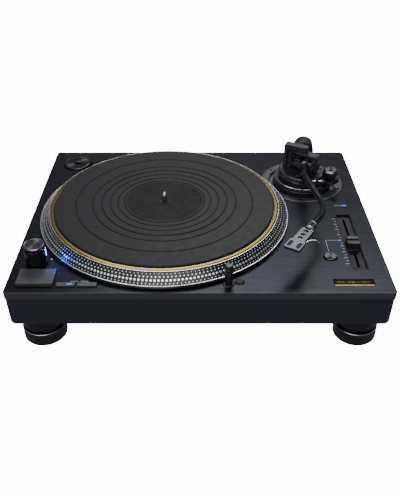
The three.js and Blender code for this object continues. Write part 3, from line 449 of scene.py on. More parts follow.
def smooth_path(points, steps):
    path = []
    ends = [2 * points[0] - points[1]] + list(points) + [2 * points[-1] - points[-2]]
    for a, b, c, d in zip(ends, ends[1:], ends[2:], ends[3:]):
        for k in range(steps):
            t = k / steps
            path.append(0.5 * (2 * b + (c - a) * t + (2 * a - 5 * b + 4 * c - d) * t * t
                               + (3 * b - a - 3 * c + d) * t ** 3))
    path.append(points[-1].copy())
    return path


def sweep(name, points, radius, material, body, slot, *replaced, **options):
    mesh = sweep_mesh(name, points, radius, **options)
    return finish_piece(name, mesh, material, body, slot, *replaced)


def carved(mesh, cutters, bevel=0.0):
    """The mesh with the cutters' solids taken away, and its new edges rounded by bevel."""
    target = add_object("carving", mesh)
    tools = []
    for k, cutter in enumerate(cutters):
        tool = add_object(f"cutter_{k}", cutter)
        tools.append(tool)
        step = target.modifiers.new(f"cut_{k}", "BOOLEAN")
        step.operation = "DIFFERENCE"
        step.solver = "EXACT"
        step.object = tool
    if bevel > 0:
        edge = target.modifiers.new("edges", "BEVEL")
        edge.width = bevel * MM
        edge.segments = 2
        edge.limit_method = "ANGLE"
        edge.angle_limit = math.radians(50)
        edge.use_clamp_overlap = False
    bpy.context.view_layer.update()
    graph = bpy.context.evaluated_depsgraph_get()
    result = bpy.data.meshes.new_from_object(target.evaluated_get(graph))
    for made in [target, *tools]:
        bpy.data.objects.remove(made)
    return result


def turned_frame(origin, degrees, axis="Z"):
    return Matrix.Translation(origin) @ Matrix.Rotation(math.radians(degrees), 4, axis)


def moved(mesh, x=0.0, y=0.0, turn=0.0):
    """The mesh moved by millimetres, after a turn about Z in degrees."""
    mesh.transform(turned_frame((x * MM, y * MM, 0), turn))
    return mesh


def joined(name, meshes):
    work = bmesh.new()
    for mesh in meshes:
        work.from_mesh(mesh)
    made = bpy.data.meshes.new(name)
    work.to_mesh(made)
    work.free()
    return made


def drum(radius, low, high, x, y, sides=64):
    """A plain upright cylinder, for cutting or joining."""
    return moved(prism_mesh("drum", circle(radius, sides), low, high), x, y)


def bar(x0, x1, y0, y1, low, high, corner=0.0, bevel=0.0):
    outline = rectangle(x1 - x0, y1 - y0, corner) if corner else [
        (-(x1 - x0) / 2, -(y1 - y0) / 2), ((x1 - x0) / 2, -(y1 - y0) / 2),
        ((x1 - x0) / 2, (y1 - y0) / 2), (-(x1 - x0) / 2, (y1 - y0) / 2)]
    return moved(prism_mesh("bar", outline, low, high, bevel), (x0 + x1) / 2, (y0 + y1) / 2)


DECK_FRAME = Matrix.Translation(place(0, 0, 0))


def on_deck(name, mesh, material, body, slot, *replaced):
    """A piece whose mesh is drawn in the deck's coordinates."""
    return finish_piece(name, mesh, material, body, slot, *replaced, matrix=DECK_FRAME)


# ---------------------------------------------------------------- plinth
PLATE_LOW = level("top_plate", 0)
WIDTH = 2 * half_width("top_plate")
DEPTH = (DECK_HIGH.y - DECK_LOW.y) / MM
SPIN_X, SPIN_Y, _ = deck_centre("spindle")
ARM_X, ARM_Y, _ = deck_centre("height_ring")
ARM_H = deck_centre("rear_shaft")[2]
FADER_X, FADER_Y, _ = deck_centre("pitch_fader_bezel")
POWER_X, POWER_Y, _ = deck_centre("power_knob")
ADAPTOR_X, ADAPTOR_Y, _ = deck_centre("adaptor_45")
LIGHT_X, LIGHT_Y, _ = deck_centre("target_light")
SKATE_X, SKATE_Y, _ = deck_centre("anti_skate_dial")
KEYS = {"start_stop_button": "start_stop_key", "speed_33_button": "speed_33_key",
        "speed_45_button": "speed_45_key", "range_button": "range_key"}
ROUND_KEYS = {"reset_button": "reset_key", "light_button": "light_key"}
RUN_PAST = 1.0
KEY_POCKET = -5.0
KEY_GAP = 0.4
MOTOR_BORE_R = 81
DECK_EDGE_DEPTH = 0.7


def footprint(node_name):
    """A node's sides in the deck's coordinates: x0, x1, y0, y1."""
    low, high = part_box(node_name)
    return low.x / MM, high.x / MM, (low.y - FRONT) / MM, (high.y - FRONT) / MM


def pocket(node_name, margin, floor):
    x0, x1, y0, y1 = footprint(node_name)
    return bar(x0 - margin, x1 + margin, y0 - margin, y1 + margin, floor, RUN_PAST)


def make_deck():
    plate = moved(prism_mesh("deck", rectangle(WIDTH, DEPTH, 4), PLATE_LOW, 0, 0.6), 0, DEPTH / 2)
    through = PLATE_LOW - RUN_PAST
    cutters = [
        drum(MOTOR_BORE_R, through, RUN_PAST, SPIN_X, SPIN_Y, 96),
        drum(half_width("arm_flange") + 0.3, -4, RUN_PAST, ARM_X, ARM_Y, 128),
        drum(half_width("arm_drum") + 1, through, RUN_PAST, ARM_X, ARM_Y, 96),
        drum(half_width("power_knob") + KEY_GAP, KEY_POCKET, RUN_PAST, POWER_X, POWER_Y),
        drum(half_width("adaptor_45") + 1, -6, RUN_PAST, ADAPTOR_X, ADAPTOR_Y, 96),
        drum(half_width("target_light_collar") + 0.3, through, RUN_PAST, LIGHT_X, LIGHT_Y),
        pocket("pitch_fader_bezel", 0.3, through),
        pocket("nameplate", 0.3, -1.4),
    ]
    cutters += [pocket(name, KEY_GAP, KEY_POCKET) for name in KEYS]
    for name in ROUND_KEYS:
        x, y, _ = deck_centre(name)
        cutters.append(drum(half_width(name) + KEY_GAP, KEY_POCKET, RUN_PAST, x, y))
    deck = on_deck("deck_plate", carved(plate, cutters, 0.2), DECK, "plinth", "deck_aluminium", "top_plate")
    # Faces near the outline, the sides included, take the lighter copy of the finish: a painted edge
    # highlight.
    deck.data.materials.append(DECK_RIM_HIGHLIGHT)
    for face in deck.data.polygons:
        across = abs(face.center.x) - WIDTH / 2 * MM
        back = abs(face.center.y - DEPTH / 2 * MM) - DEPTH / 2 * MM
        if max(across, back) > -DECK_EDGE_DEPTH * MM:
            face.material_index = 1


def inset_outline(inset, corner):
    return rectangle(WIDTH - 2 * inset, DEPTH - 2 * inset, corner)


def make_shell():
    low, high = levels("base_shell")
    outer = loft_mesh("shell", [(inset_outline(2.5, 7), low), (inset_outline(1.5, 7.5), low + 0.3),
                                (inset_outline(0.9, 8), low + 0.9), (inset_outline(0.5, 8), low + 2),
                                (inset_outline(0.3, 6), high)])
    hollow = loft_mesh("hollow", [(inset_outline(7.5, 6), low - 1), (inset_outline(7.5, 6), high + 1)])
    x0, x1, _, _ = footprint("terminal_panel")
    window = bar(x0 - 0.3, x1 + 0.3, DEPTH / 2 - 12, DEPTH / 2 + 1,
                 level("terminal_panel", 0) - 0.3, level("terminal_panel", 1) + 0.3)
    mesh = moved(carved(outer, [hollow, window], 0.3), 0, DEPTH / 2)
    on_deck("plinth_shell", mesh, SHELL, "plinth", "black_moulding", "base_shell")


FEET = ("front_left", "front_right", "rear_left", "rear_right")
COLLAR_LOW = level("bottom_cover", 0)
FLOOR, STEM_TOP = levels("foot_front_left")
CUP_TOP = FLOOR + 19.6
CUP_R = half_width("foot_front_left")
COLLAR_R = 26.0


def make_cover():
    shell_low = level("base_shell", 0)
    low = shell_low + 1.3
    sheet = prism_mesh("cover", inset_outline(7.8, 6), low, low + 3.5, 0.4)
    grooves = [bar(-165, 165, y - 1.5, y + 1.5, low - 1, low + 1.2) for y in range(-120, 121, 40)]
    cover = moved(carved(sheet, grooves), 0, DEPTH / 2)
    on_deck("plinth_cover", cover, RUBBER, "plinth", "black_rubber", "bottom_cover")
    for name in FEET:
        x, y, _ = deck_centre("foot_" + name)
        profile = [
            [7, COLLAR_LOW], [COLLAR_R, COLLAR_LOW], [COLLAR_R, -60], [COLLAR_R + 1.9, shell_low - 4],
            [COLLAR_R + 1.9, shell_low - 0.4], [20, shell_low - 0.4], [20, low - 0.3], [7, low - 0.3]]
        lathe(f"foot_collar_{name}", profile, place(x, y, 0), FOOT, "plinth", "black_moulding", soften=1.2)
    for sx in (-1, 1):
        for y in (20, 110, 243, 333):
            screw(f"cover_screw_{'left' if sx < 0 else 'right'}_{y}", place(sx * 120, y, low), -UP, 3.4,
                  STEEL, "plinth", "steel")


def screw(name, origin, direction, radius, material, body, slot):
    """A screw's head, standing 1 mm proud, with a cross recess."""
    head = prism_mesh("head", circle(radius), 0.05, 1.0, 0.25, both=False)
    arm, half = radius * 0.6, radius * 0.12
    cross = [bar(-arm, arm, -half, half, 0.45, 2), bar(-half, half, -arm, arm, 0.45, 2)]
    finish_piece(name, carved(head, cross), material, body, slot, matrix=turn_to(origin, direction))


def make_feet():
    for name in FEET:
        x, y, _ = deck_centre("foot_" + name)
        body = name + "_foot"
        at = place(x, y, 0)
        profile = [[0, FLOOR + 1.1], [24.9, FLOOR + 1.1], [24.9, FLOOR + 0.1], [26.6, FLOOR + 0.9],
                   [CUP_R, FLOOR + 2.6], [CUP_R, CUP_TOP - 0.8], [27.1, CUP_TOP - 0.8],
                   [26.6, CUP_TOP - 0.2], [20, CUP_TOP - 0.2], [20, CUP_TOP - 3], [6, CUP_TOP - 3],
                   [6, STEM_TOP], [0, STEM_TOP]]
        lathe(f"foot_cup_{name}", profile, at, FOOT, body, "black_aluminium", "foot_" + name,
              segments=128, soften=0.9)
        edge = [[CUP_R, CUP_TOP - 0.7], [CUP_R, CUP_TOP - 0.5], [27.1, CUP_TOP], [26.8, CUP_TOP],
                [26.8, CUP_TOP - 0.1], [27.2, CUP_TOP - 0.7]]
        lathe(f"foot_edge_{name}", edge, at, LIP, body, "bright_aluminium", segments=128, soften=0.1)
        sole = slab(0, 24.7, FLOOR, FLOOR + 1.0)
        lathe(f"foot_sole_{name}", sole, at, RUBBER, body, "black_rubber", soften=0.3)
        damper = [[7, CUP_TOP - 2.8], [19, CUP_TOP - 2.8], [19.4, CUP_TOP + 1.2], [18.4, CUP_TOP + 3.2],
                  [7, CUP_TOP + 3.2]]
        lathe(f"foot_damper_{name}", damper, at, RUBBER, body, "black_rubber", soften=0.5)


def make_terminals():
    x0, x1, y0, y1 = footprint("terminal_panel")
    low, high = levels("terminal_panel")
    recess = bar(x0 + 1.6, x1 - 1.6, y0 + 2, y1 + 1, low + 1.6, high - 1.6)
    tray = carved(bar(x0, x1, y0, y1, low, high), [recess], 0.3)
    on_deck("terminal_tray", tray, MATTE, "plinth", "black_moulding", "terminal_panel")
    back = Vector((0, 1, 0))
    x0, x1, y0, y1 = footprint("ac_inlet")
    low, high = levels("ac_inlet")
    recess = bar(x0 + 2.5, x1 - 2.5, y0 + 2, y1 + 1, low + 2.2, high - 2.2)
    inlet = carved(bar(x0, x1, y0, y1, low, high), [recess], 0.5)
    on_deck("mains_inlet", inlet, GLOSS, "plinth", "black_moulding", "ac_inlet")
    middle, height = (x0 + x1) / 2, (low + high) / 2
    for k, side in enumerate((-5, 5)):
        blade = bar(middle + side - 1, middle + side + 1, y0 + 1.8, y0 + 10, height - 2, height + 2,
                    bevel=0.3)
        on_deck(f"inlet_pin_{k + 1}", blade, STEEL, "plinth", "steel")
    for side in ("left", "right"):
        x, _, h = deck_centre("phono_jack_" + side)
        _, _, y0, _ = footprint("phono_jack_" + side)
        profile = [[0, 0.2], [6.4, 0.2], [6.4, 2.0], [4.2, 2.0], [4.2, 10.2], [3.6, 10.8], [1.7, 10.8],
                   [1.7, 3], [0, 3]]
        lathe(f"phono_socket_{side}", profile, place(x, y0, h), GOLD_PIN, "plinth", "gold",
              "phono_jack_" + side, direction=back, segments=48, soften=0.2)
        ring = slab(4.3, 6.9, 2.1, 3.4)
        lathe(f"phono_ring_{side}", ring, place(x, y0, h), MATTE if side == "left" else RED, "plinth",
              "black_moulding", direction=back, segments=48, soften=0.3)
    x, _, h = deck_centre("ground_terminal")
    _, _, y0, _ = footprint("ground_terminal")
    knurl = prism_mesh("knurl", ridged(4.5, 0.25, 30), 1.4, 8, 0.4)
    finish_piece("earth_nut", knurl, GOLD_PIN, "ground_nut", "gold", "ground_terminal",
                 matrix=turn_to(place(x, y0, h), back))
    stud = slab(0, 5.6, 0.1, 1.1)
    lathe("earth_washer", stud, place(x, y0, h), STEEL, "ground_nut", "steel", direction=back, segments=48)
    tip = [[0, 8.1], [2.4, 8.1], [2.4, 9.4], [1.8, 9.9], [0, 9.9]]
    lathe("earth_stud", tip, place(x, y0, h), STEEL, "ground_nut", "steel", direction=back, segments=48)


def ridged(radius, depth, count, per=4):
    """A round outline with count shallow ridges."""
    points = []
    total = count * per
    for k in range(total):
        wave = 0.5 + 0.5 * math.cos(2 * math.pi * k / per)
        angle = 2 * math.pi * k / total
        points.append(((radius - depth * wave) * math.cos(angle), (radius - depth * wave) * math.sin(angle)))
    return points


# ---------------------------------------------------------------- platter and mat
BAND_TOP = (153.0, 16.0)
BAND_FOOT = (164.5, 5.5)
DOT_ROWS = ((0.13, 204, 0.72), (0.35, 209, 0.98), (0.62, 216, 1.5), (0.88, 223, 0.75))


def make_platter():
    hub = place(SPIN_X, SPIN_Y, 0)
    outer = half_width("platter")
    bottom = level("platter", 0)
    profile = [[3.9, 2], [30, 2], [30, 11], [149, 11], [150.5, bottom], [outer - 0.5, bottom],
               [outer, bottom + 0.6], [outer, BAND_FOOT[1] - 0.3], [outer - 0.3, BAND_FOOT[1]],
               [164.6, BAND_FOOT[1]], [164.3, 5.2], [152.8, 15.7], [153, 17], [151.9, 17], [151.9, 15.2],
               [146.6, 15.2], [146.6, 16.2], [3.9, 16.2]]
    lathe("platter_casting", profile, hub, LIP, "turntable_platter", "bright_aluminium", "platter",
          segments=256, soften=0.25)
    band = [[164.4, 5.35], [164.4, 5.6], [153.2, 15.9], [153.0, 15.85], [153.0, 15.65]]
    lathe("strobe_band", band, hub, BAND, "turntable_platter", "black_paint", segments=256, soften=0.05)
    low, high = levels("platter_trim_ring")
    trim = [[146.9, low], [151.6, low], [151.6, high - 0.9], [150.4, high], [147.3, high],
            [146.9, high - 0.3]]
    lathe("gold_trim_ring", trim, hub, GOLD, "turntable_platter", "gold", "platter_trim_ring",
          segments=256, soften=0.2)
    low, tip = levels("spindle")
    pin = [[0, low], [3.6, low], [3.6, tip - 5.5], [3.3, tip - 4], [2.4, tip - 1.6],
           [1.2, tip - 0.3], [0, tip]]
    lathe("centre_spindle", pin, hub, STEEL, "turntable_platter", "steel", "spindle", segments=48, soften=0.6)
    finish_piece("strobe_dots", strobe_dots(), DOT, "turntable_platter", "bright_aluminium",
                 matrix=Matrix.Translation(hub), soft=60)


def strobe_dots():
    """Four rows of low domes on the slanted band."""
    across = Vector((BAND_FOOT[0] - BAND_TOP[0], 0, BAND_FOOT[1] - BAND_TOP[1]))
    outward = Vector((-across.z, 0, across.x)).normalized()
    along = across.normalized()
    work = bmesh.new()
    sides = 10
    for part, count, size in DOT_ROWS:
        base = Vector((BAND_TOP[0], 0, BAND_TOP[1])) + across * part + outward * 0.12
        for k in range(count):
            spin = Matrix.Rotation(2 * math.pi * k / count, 3, "Z")
            loops = []
            for share, rise in ((1.0, -0.1), (1.0, 0.12), (0.72, 0.3)):
                loop = []
                for s in range(sides):
                    angle = 2 * math.pi * s / sides
                    offset = along * math.cos(angle) + Vector((0, 1, 0)) * math.sin(angle)
                    point = base + offset * size * share + outward * rise
                    loop.append(work.verts.new(spin @ point * MM))
                loops.append(loop)
            skin(work, loops)
    return to_mesh("strobe_dots", work)


MAT_GROOVES = ((53.7, 0.9, 0.9), (62.1, 0.9, 0.9), (72.5, 0.9, 0.9), (83.6, 1.2, 1.1), (95.6, 0.9, 0.9),
               (117.6, 0.9, 0.9))


def make_mat():
    low, high = levels("rubber_mat")
    edge = half_width("rubber_mat")
    label = high - 0.8
    top = [[3.9, label]]
    radius = 8.0
    while radius < 48:
        top += [[radius - 1.1, label], [radius - 0.3, label - 0.75], [radius + 0.3, label - 0.75],
                [radius + 1.1, label]]
        radius += 3.05
    top += [[49.4, label], [50.4, high]]
    for groove, half, deep in MAT_GROOVES:
        top += [[groove - half, high], [groove - half * 0.5, high - deep], [groove + half * 0.5, high - deep],
                [groove + half, high]]
    top += [[edge - 1.2, high], [edge, high - 0.9]]
    profile = [[3.9, low], [edge - 0.6, low], [edge, low + 0.5]] + list(reversed(top))
    lathe("grooved_mat", profile, place(SPIN_X, SPIN_Y, 0), MAT, "mat", "black_rubber", "rubber_mat",
          segments=256, soften=0.12)


def make_adaptor():
    low, high = levels("adaptor_45")
    edge = half_width("adaptor_45")
    profile = [[3.7, low], [edge, low], [edge, high - 1.2], [edge - 0.8, high - 0.2],
               [edge - 2, high - 0.2], [edge - 2.4, high - 0.6], [edge - 3, high - 0.2], [5.4, high - 0.5],
               [4.6, high - 1.2], [3.7, high - 2]]
    lathe("single_adaptor", profile, place(ADAPTOR_X, ADAPTOR_Y, 0), SPUN_BLACK, "adaptor", "black_aluminium",
          "adaptor_45", segments=128, soften=0.25)


# ---------------------------------------------------------------- controls on the deck
def make_power():
    at = place(POWER_X, POWER_Y, 0)
    low, top = levels("strobe_post")
    post = lathe_mesh("post", [[0, low], [12.4, low], [12.4, 1], [13, top - 0.4], [12.6, top], [0, top]],
                      96, 0.3)
    window_low, window_high = levels("strobe_window")
    facing = centre("strobe_window") - place(POWER_X, POWER_Y, (window_low + window_high) / 2)
    turn = math.degrees(math.atan2(facing.y, facing.x))
    slot_cut = moved(bar(11.0, 15.4, -1.5, 1.5, window_low - 0.3, window_high + 0.3, 1.0), turn=turn)
    finish_piece("strobe_housing", carved(post, [slot_cut], 0.25), GLOSS, "plinth", "gloss_black_plastic",
                 "strobe_post", matrix=Matrix.Translation(at))
    lens = moved(bar(10.9, 13.0, -1.1, 1.1, window_low + 0.1, window_high - 0.1, 0.8, 0.4), turn=turn)
    finish_piece("strobe_lens", lens, LAMP, "plinth", "blue_light", "strobe_window",
                 matrix=Matrix.Translation(at))
    low, top = levels("power_knob")
    side = prism_mesh("grip", ridged(13, 0.22, 72), low, top - 1.2, 0.2)
    finish_piece("power_grip", side, GLOSS, "power_dial", "gloss_black_plastic", "power_knob",
                 matrix=Matrix.Translation(at))
    cap = [[0, top - 1.1], [12.9, top - 1.1], [12.9, top - 0.9], [11.9, top], [11.0, top], [10.7, top - 0.3],
           [0, top - 0.35]]
    lathe("power_cap", cap, at, KNOB_TOP, "power_dial", "bright_aluminium", segments=128, soften=0.15)


def make_keys():
    for name, body in KEYS.items():
        x0, x1, y0, y1 = footprint(name)
        low, high = levels(name)
        cap = bar(x0, x1, y0, y1, low, high, 0.9, 0.35)
        on_deck(name.replace("_button", "_cap"), cap, KEY_TOP, body, "black_moulding", name)
    for name, body in ROUND_KEYS.items():
        x, y, _ = deck_centre(name)
        radius = half_width(name)
        low, high = levels(name)
        dome = [[0, low], [radius, low], [radius, high - 0.7], [radius - 0.8, high], [0, high - 0.25]]
        lathe(name.replace("_button", "_cap"), dome, place(x, y, 0), SPUN_BLACK if "reset" in name else MATTE,
              body, "bright_aluminium", name, segments=96, soften=0.2)
        ring = [[radius + 0.45, -0.6], [radius + 1.6, -0.6], [radius + 1.6, 0.05], [radius + 1.2, 0.25],
                [radius + 0.45, 0.0]]
        lathe(name.replace("_button", "_seat"), ring, place(x, y, 0), SATIN, "plinth", "black_paint",
              soften=0.1)


PRINT_LOW, PRINT_HIGH = 0.01, 0.06
TICK_STEP = 6.25
MARK_ARC_R = 18.5


def led(name, x0, x1, middle, half, h, body, thick):
    """A lit mark lying on a face at height h."""
    strip = bar(x0, x1, middle - half, middle + half, h + PRINT_LOW, h + thick)
    on_deck(name, strip, LED, body, "blue_light")


def stroke(x0, x1, y0, y1):
    return bar(x0, x1, y0, y1, PRINT_LOW, PRINT_HIGH)


def printed(name, strokes):
    on_deck(name, joined(name, strokes), PRINT, "plinth", "white_print")


def make_marks():
    for name, body, x0, x1 in (("speed_33", "speed_33_key", -154.5, -148.5),
                               ("range", "range_key", 196, 201.5)):
        _, _, y0, y1 = footprint(name + "_button")
        half = min(1.1, (y1 - y0) * 0.3)
        led(name + "_led", x0, x1, (y0 + y1) / 2, half, level(name + "_button", 1), body, 0.15)
    printed("speed_bracket", [
        stroke(-151.2, -150.9, 19.5, 22), stroke(-131, -130.7, 19.5, 22),
        stroke(-150.9, -142.6, 21.7, 22), stroke(-139.4, -131, 21.7, 22)])
    _, _, y0, y1 = footprint("pitch_fader_bezel")
    middle = (y0 + y1) / 2
    ticks = []
    for k in range(-8, 9):
        y = middle + k * TICK_STEP
        if k:
            length = 4.4 if k % 2 == 0 else 2.2
            ticks.append(stroke(181.4 - length, 181.4, y - 0.22, y + 0.22))
    printed("fader_scale", ticks)
    led("fader_led", 175.4, 180.2, middle, 0.7, 0, "plinth", 0.12)
    x, y, _ = deck_centre("reset_button")
    printed("reset_line", [
        stroke(x - 0.15, x + 0.15, y + 12, middle), stroke(x + 0.15, 174.4, middle - 0.3, middle)])
    arc = []
    for k in range(7):
        angle = math.radians(-62 + 15 * k)
        arc.append(moved(bar(-0.4, 0.4, -0.18, 0.18, PRINT_LOW, PRINT_HIGH),
                         POWER_X + MARK_ARC_R * math.cos(angle), POWER_Y + MARK_ARC_R * math.sin(angle),
                         math.degrees(angle) + 90))
    for angle in (-68, 33):
        spot = heading(angle) * 18.6
        arrow = prism_mesh("arrow", [(-1.4, -0.8), (1.4, -0.8), (0, 1.4)], PRINT_LOW, PRINT_HIGH)
        arc.append(moved(arrow, POWER_X + spot.x, POWER_Y + spot.y, angle))
    printed("power_marks", arc)


def make_fader():
    x0, x1, y0, y1 = footprint("pitch_fader_bezel")
    floor = level("pitch_slider", 0) + 9.0
    low = level("pitch_fader_bezel", 0)
    body = bar(x0, x1, y0, y1, low, -0.15)
    middle = (y0 + y1) / 2
    cutters = [bar(x0 + 0.8, x1 - 0.8, y0 + 0.8, y1 - 0.8, floor, 1),
               bar(FADER_X - 1.5, FADER_X + 1.5, middle - 53.5, middle + 53.5, low - 1, 1)]
    on_deck("fader_tray", carved(body, cutters, 0.15), MATTE, "plinth", "black_moulding", "pitch_fader_bezel")
    x0, x1, y0, y1 = footprint("pitch_slider")
    x, y = (x0 + x1) / 2, (y0 + y1) / 2
    top = level("pitch_slider", 1)
    grip = loft_mesh("grip", [(rectangle(17, 21, 1.5), floor + 0.5), (rectangle(17, 21, 1.5), floor + 1.2),
                              (rectangle(15.6, 17.6, 1.5), floor + 1.6),
                              (rectangle(15.4, 17.2, 1.5), top - 0.7),
                              (rectangle(14.8, 16.6, 1.2), top - 0.1), (rectangle(14.2, 16, 1), top - 0.1)])
    finger = [bar(-9, 9, -3.4, 2.6, top - 2.4, top + 2)]
    grip = carved(grip, finger, 0.4)
    finish_piece("slider_grip", grip, SATIN, "pitch_fader", "black_moulding", "pitch_slider",
                 matrix=Matrix.Translation(place(x, y, 0)))
    stem = bar(x - 0.8, x + 0.8, y - 3, y + 3, floor - 6, floor + 0.45)
    on_deck("slider_stem", stem, SATIN, "pitch_fader", "steel")
    line = bar(x - 7.6, x + 7.6, y - 0.3, y + 0.3, top - 2.2, top - 2.05)
    on_deck("slider_line", line, PRINT_GREY, "pitch_fader", "white_print")


def make_nameplate():
    x0, x1, y0, y1 = footprint("nameplate")
    low, high = levels("nameplate")
    on_deck("badge_plate", bar(x0, x1, y0, y1, low, high - 0.1, 0.4, 0.1), BADGE_DARK, "plinth", "gold",
            "nameplate")
    band_top = y0 + 3.0
    on_deck("badge_band", bar(x0 + 0.6, x1 - 0.6, y0 + 0.7, band_top, high - 0.1, high, 0.3, 0.04),
            BADGE_GOLD, "plinth", "gold")
    waves = []
    count = 34
    for k in range(count):
        x = x0 + 4 + (x1 - x0 - 8) * k / (count - 1)
        tall = 0.9 + 0.7 * math.sin(k * 0.9) * math.cos(k * 0.37)
        middle = (band_top + y1) / 2
        waves.append(bar(x - 0.16, x + 0.16, middle - tall, middle + tall, high - 0.09, high))
    on_deck("badge_pattern", joined("waves", waves), BADGE_GOLD, "plinth", "gold")


def make_target_light():
    at = place(LIGHT_X, LIGHT_Y, 0)
    low, high = levels("target_light_collar")
    outer = half_width("target_light_collar")
    collar = [[5.0, low], [outer, low], [outer, high - 0.5], [outer - 1.2, high], [5.0, high]]
    lathe("target_collar", collar, at, SPUN_BLACK, "plinth", "black_aluminium",
          "target_light_collar", soften=0.2)
    low, high = levels("target_light")
    radius = half_width("target_light")
    post = [[0, low], [radius, low], [radius, high - 6.2], [radius - 0.35, high - 5.9],
            [radius - 0.35, high - 5.2], [radius, high - 4.9], [radius, high - 1.4],
            [radius - 0.5, high - 1.0], [0, high - 1.0]]
    lathe("target_post", post, at, SATIN, "target_lamp", "black_aluminium", "target_light", soften=0.15)
    cap = [[0, high - 0.95], [radius - 0.55, high - 0.95], [radius - 0.55, high - 0.4], [radius - 1.1, high],
           [0, high - 0.1]]
    lathe("target_cap", cap, at, SPUN_BLACK, "target_lamp", "bright_aluminium", soften=0.1)
    to_platter = (place(SPIN_X, SPIN_Y, 0) - at).normalized()
    lens = [[0, radius - 0.4], [1.3, radius - 0.4], [1.3, radius - 0.15], [0.7, radius + 0.1],
            [0, radius + 0.15]]
    lathe("target_lens", lens, place(LIGHT_X, LIGHT_Y, high - 3.2), LENS, "target_lamp", "blue_light",
          direction=to_platter, segments=32, soften=0.1)


# ---------------------------------------------------------------- tonearm base
def joint(name):
    return next(entry for entry in frame["record"]["behaviour"]["joints"] if entry["name"] == name)


def sector(inner, outer, first, last, steps=28):
    """A ring sector round the arm's pivot, its angles in degrees."""
    points = []
    for radius, ends in ((outer, (first, last)), (inner, (last, first))):
        for k in range(steps + 1):
            spot = heading(ends[0] + (ends[1] - ends[0]) * k / steps) * radius
            points.append((ARM_X + spot.x, ARM_Y + spot.y))
    return points


def ticks_round(name, radius, low, high, first, last, count, width=0.35):
    """Upright printed ticks standing 0.05 mm proud of a drum round the arm's pivot."""
    marks = []
    for k in range(count):
        angle = first + (last - first) * k / (count - 1)
        tall = high - low if k % 5 == 0 else (high - low) * 0.55
        tick = bar(radius - 0.2, radius + 0.05, -width / 2, width / 2, low, low + tall)
        spot = moved(tick, turn=angle)
        marks.append(moved(spot, ARM_X, ARM_Y))
    return joined(name, marks)


LEVER_HEADING = -59
CLIP_LEAN = 50
FLANGE_R = half_width("arm_flange")
RING_R = half_width("height_ring")
DRUM_R = half_width("arm_drum")
WELL_R = 48.0


def make_arm_base():
    pivot = place(ARM_X, ARM_Y, 0)
    flange = lathe_mesh("flange", [
        [RING_R + 1.5, -3.7], [FLANGE_R, -3.7], [FLANGE_R, 0.5], [FLANGE_R - 0.8, 1.0], [FLANGE_R - 2.6, 1.1],
        [FLANGE_R - 3.2, 0.7], [WELL_R + 1.5, 0.4], [WELL_R, 0.1], [WELL_R - 1, -2.4], [RING_R + 1.5, -2.4]],
        192, 0.25)
    oval = moved(prism_mesh("oval", rectangle(5.2, 20, 2.5), -3.6, 3), WELL_R - 1.6, 0)
    oval = moved(oval, turn=145)
    finish_piece("arm_flange_disc", carved(flange, [oval], 0.2), FLANGE, "plinth", "black_paint",
                 "arm_flange", matrix=Matrix.Translation(pivot))
    for k, angle in enumerate((20, 140, 260)):
        spot = heading(angle) * (WELL_R + 6)
        screw(f"flange_screw_{k + 1}", place(ARM_X + spot.x, ARM_Y + spot.y, 0.25), UP, 2.0, SATIN, "plinth",
              "black_paint")

    inner = DRUM_R + 0.5
    low, top = levels("height_ring")
    ring = [[inner, low], [RING_R, low], [RING_R, top - 6.4], [RING_R - 0.5, top - 5.9],
            [RING_R - 0.5, top - 5.2], [RING_R, top - 4.7], [RING_R, top - 0.9], [RING_R - 0.9, top],
            [inner, top]]
    lathe("height_ring_body", ring, pivot, SATIN, "height_adjuster", "black_paint", "height_ring",
          segments=192, soften=0.2)
    # A thin bright sheet over the ring's top edge: a painted highlight.
    edge = [[RING_R - 1.0, top], [RING_R + 0.02, top - 1.0], [RING_R + 0.06, top - 0.8],
            [RING_R - 0.85, top + 0.08]]
    lathe("height_ring_highlight", edge, pivot, RIM_HIGHLIGHT, "height_adjuster", "black_paint", segments=192, soften=0.02)
    marks = ticks_round("height_marks", RING_R, top - 4.3, top - 1.4, 190, 330, 36)
    on_deck("height_ring_marks", marks, PRINT_GREY, "height_adjuster", "white_print")

    low, top = levels("arm_drum")
    body = lathe_mesh("drum", [
        [5.3, -20], [18, -20], [18, -9], [DRUM_R, -9], [DRUM_R, top - 6.2], [DRUM_R - 0.7, top - 5.6],
        [DRUM_R - 0.7, top - 4.8], [DRUM_R, top - 4.2], [DRUM_R, top - 1.8], [DRUM_R - 1.4, top - 0.1],
        [DRUM_R - 8, top - 0.1], [DRUM_R - 8.6, top - 0.9], [5.3, top - 0.9]], 160, 0.25)
    body = moved(body, ARM_X, ARM_Y)
    relief = prism_mesh("relief", sector(16, DRUM_R + 3, 5, 130), 12, top + 2)
    lift_bore = drum(2.8, 4, top + 2, ARM_X, deck_centre("cue_lift")[1], 32)
    dial_seat = drum(half_width("anti_skate_dial") + 0.8, 12, top + 2, SKATE_X, SKATE_Y)
    on_deck("arm_base_drum", carved(body, [relief, lift_bore, dial_seat], 0.3), SATIN, "arm_base",
            "black_paint", "arm_drum")
    column = slab(5.4, 17.8, low, -20.1)
    lathe("arm_base_column", column, pivot, CAST, "arm_base", "black_paint")
    marks = ticks_round("pillar_marks", DRUM_R, top - 4.0, top - 2.2, 205, 245, 11, 0.25)
    on_deck("arm_base_marks", marks, PRINT_GREY, "arm_base", "white_print")


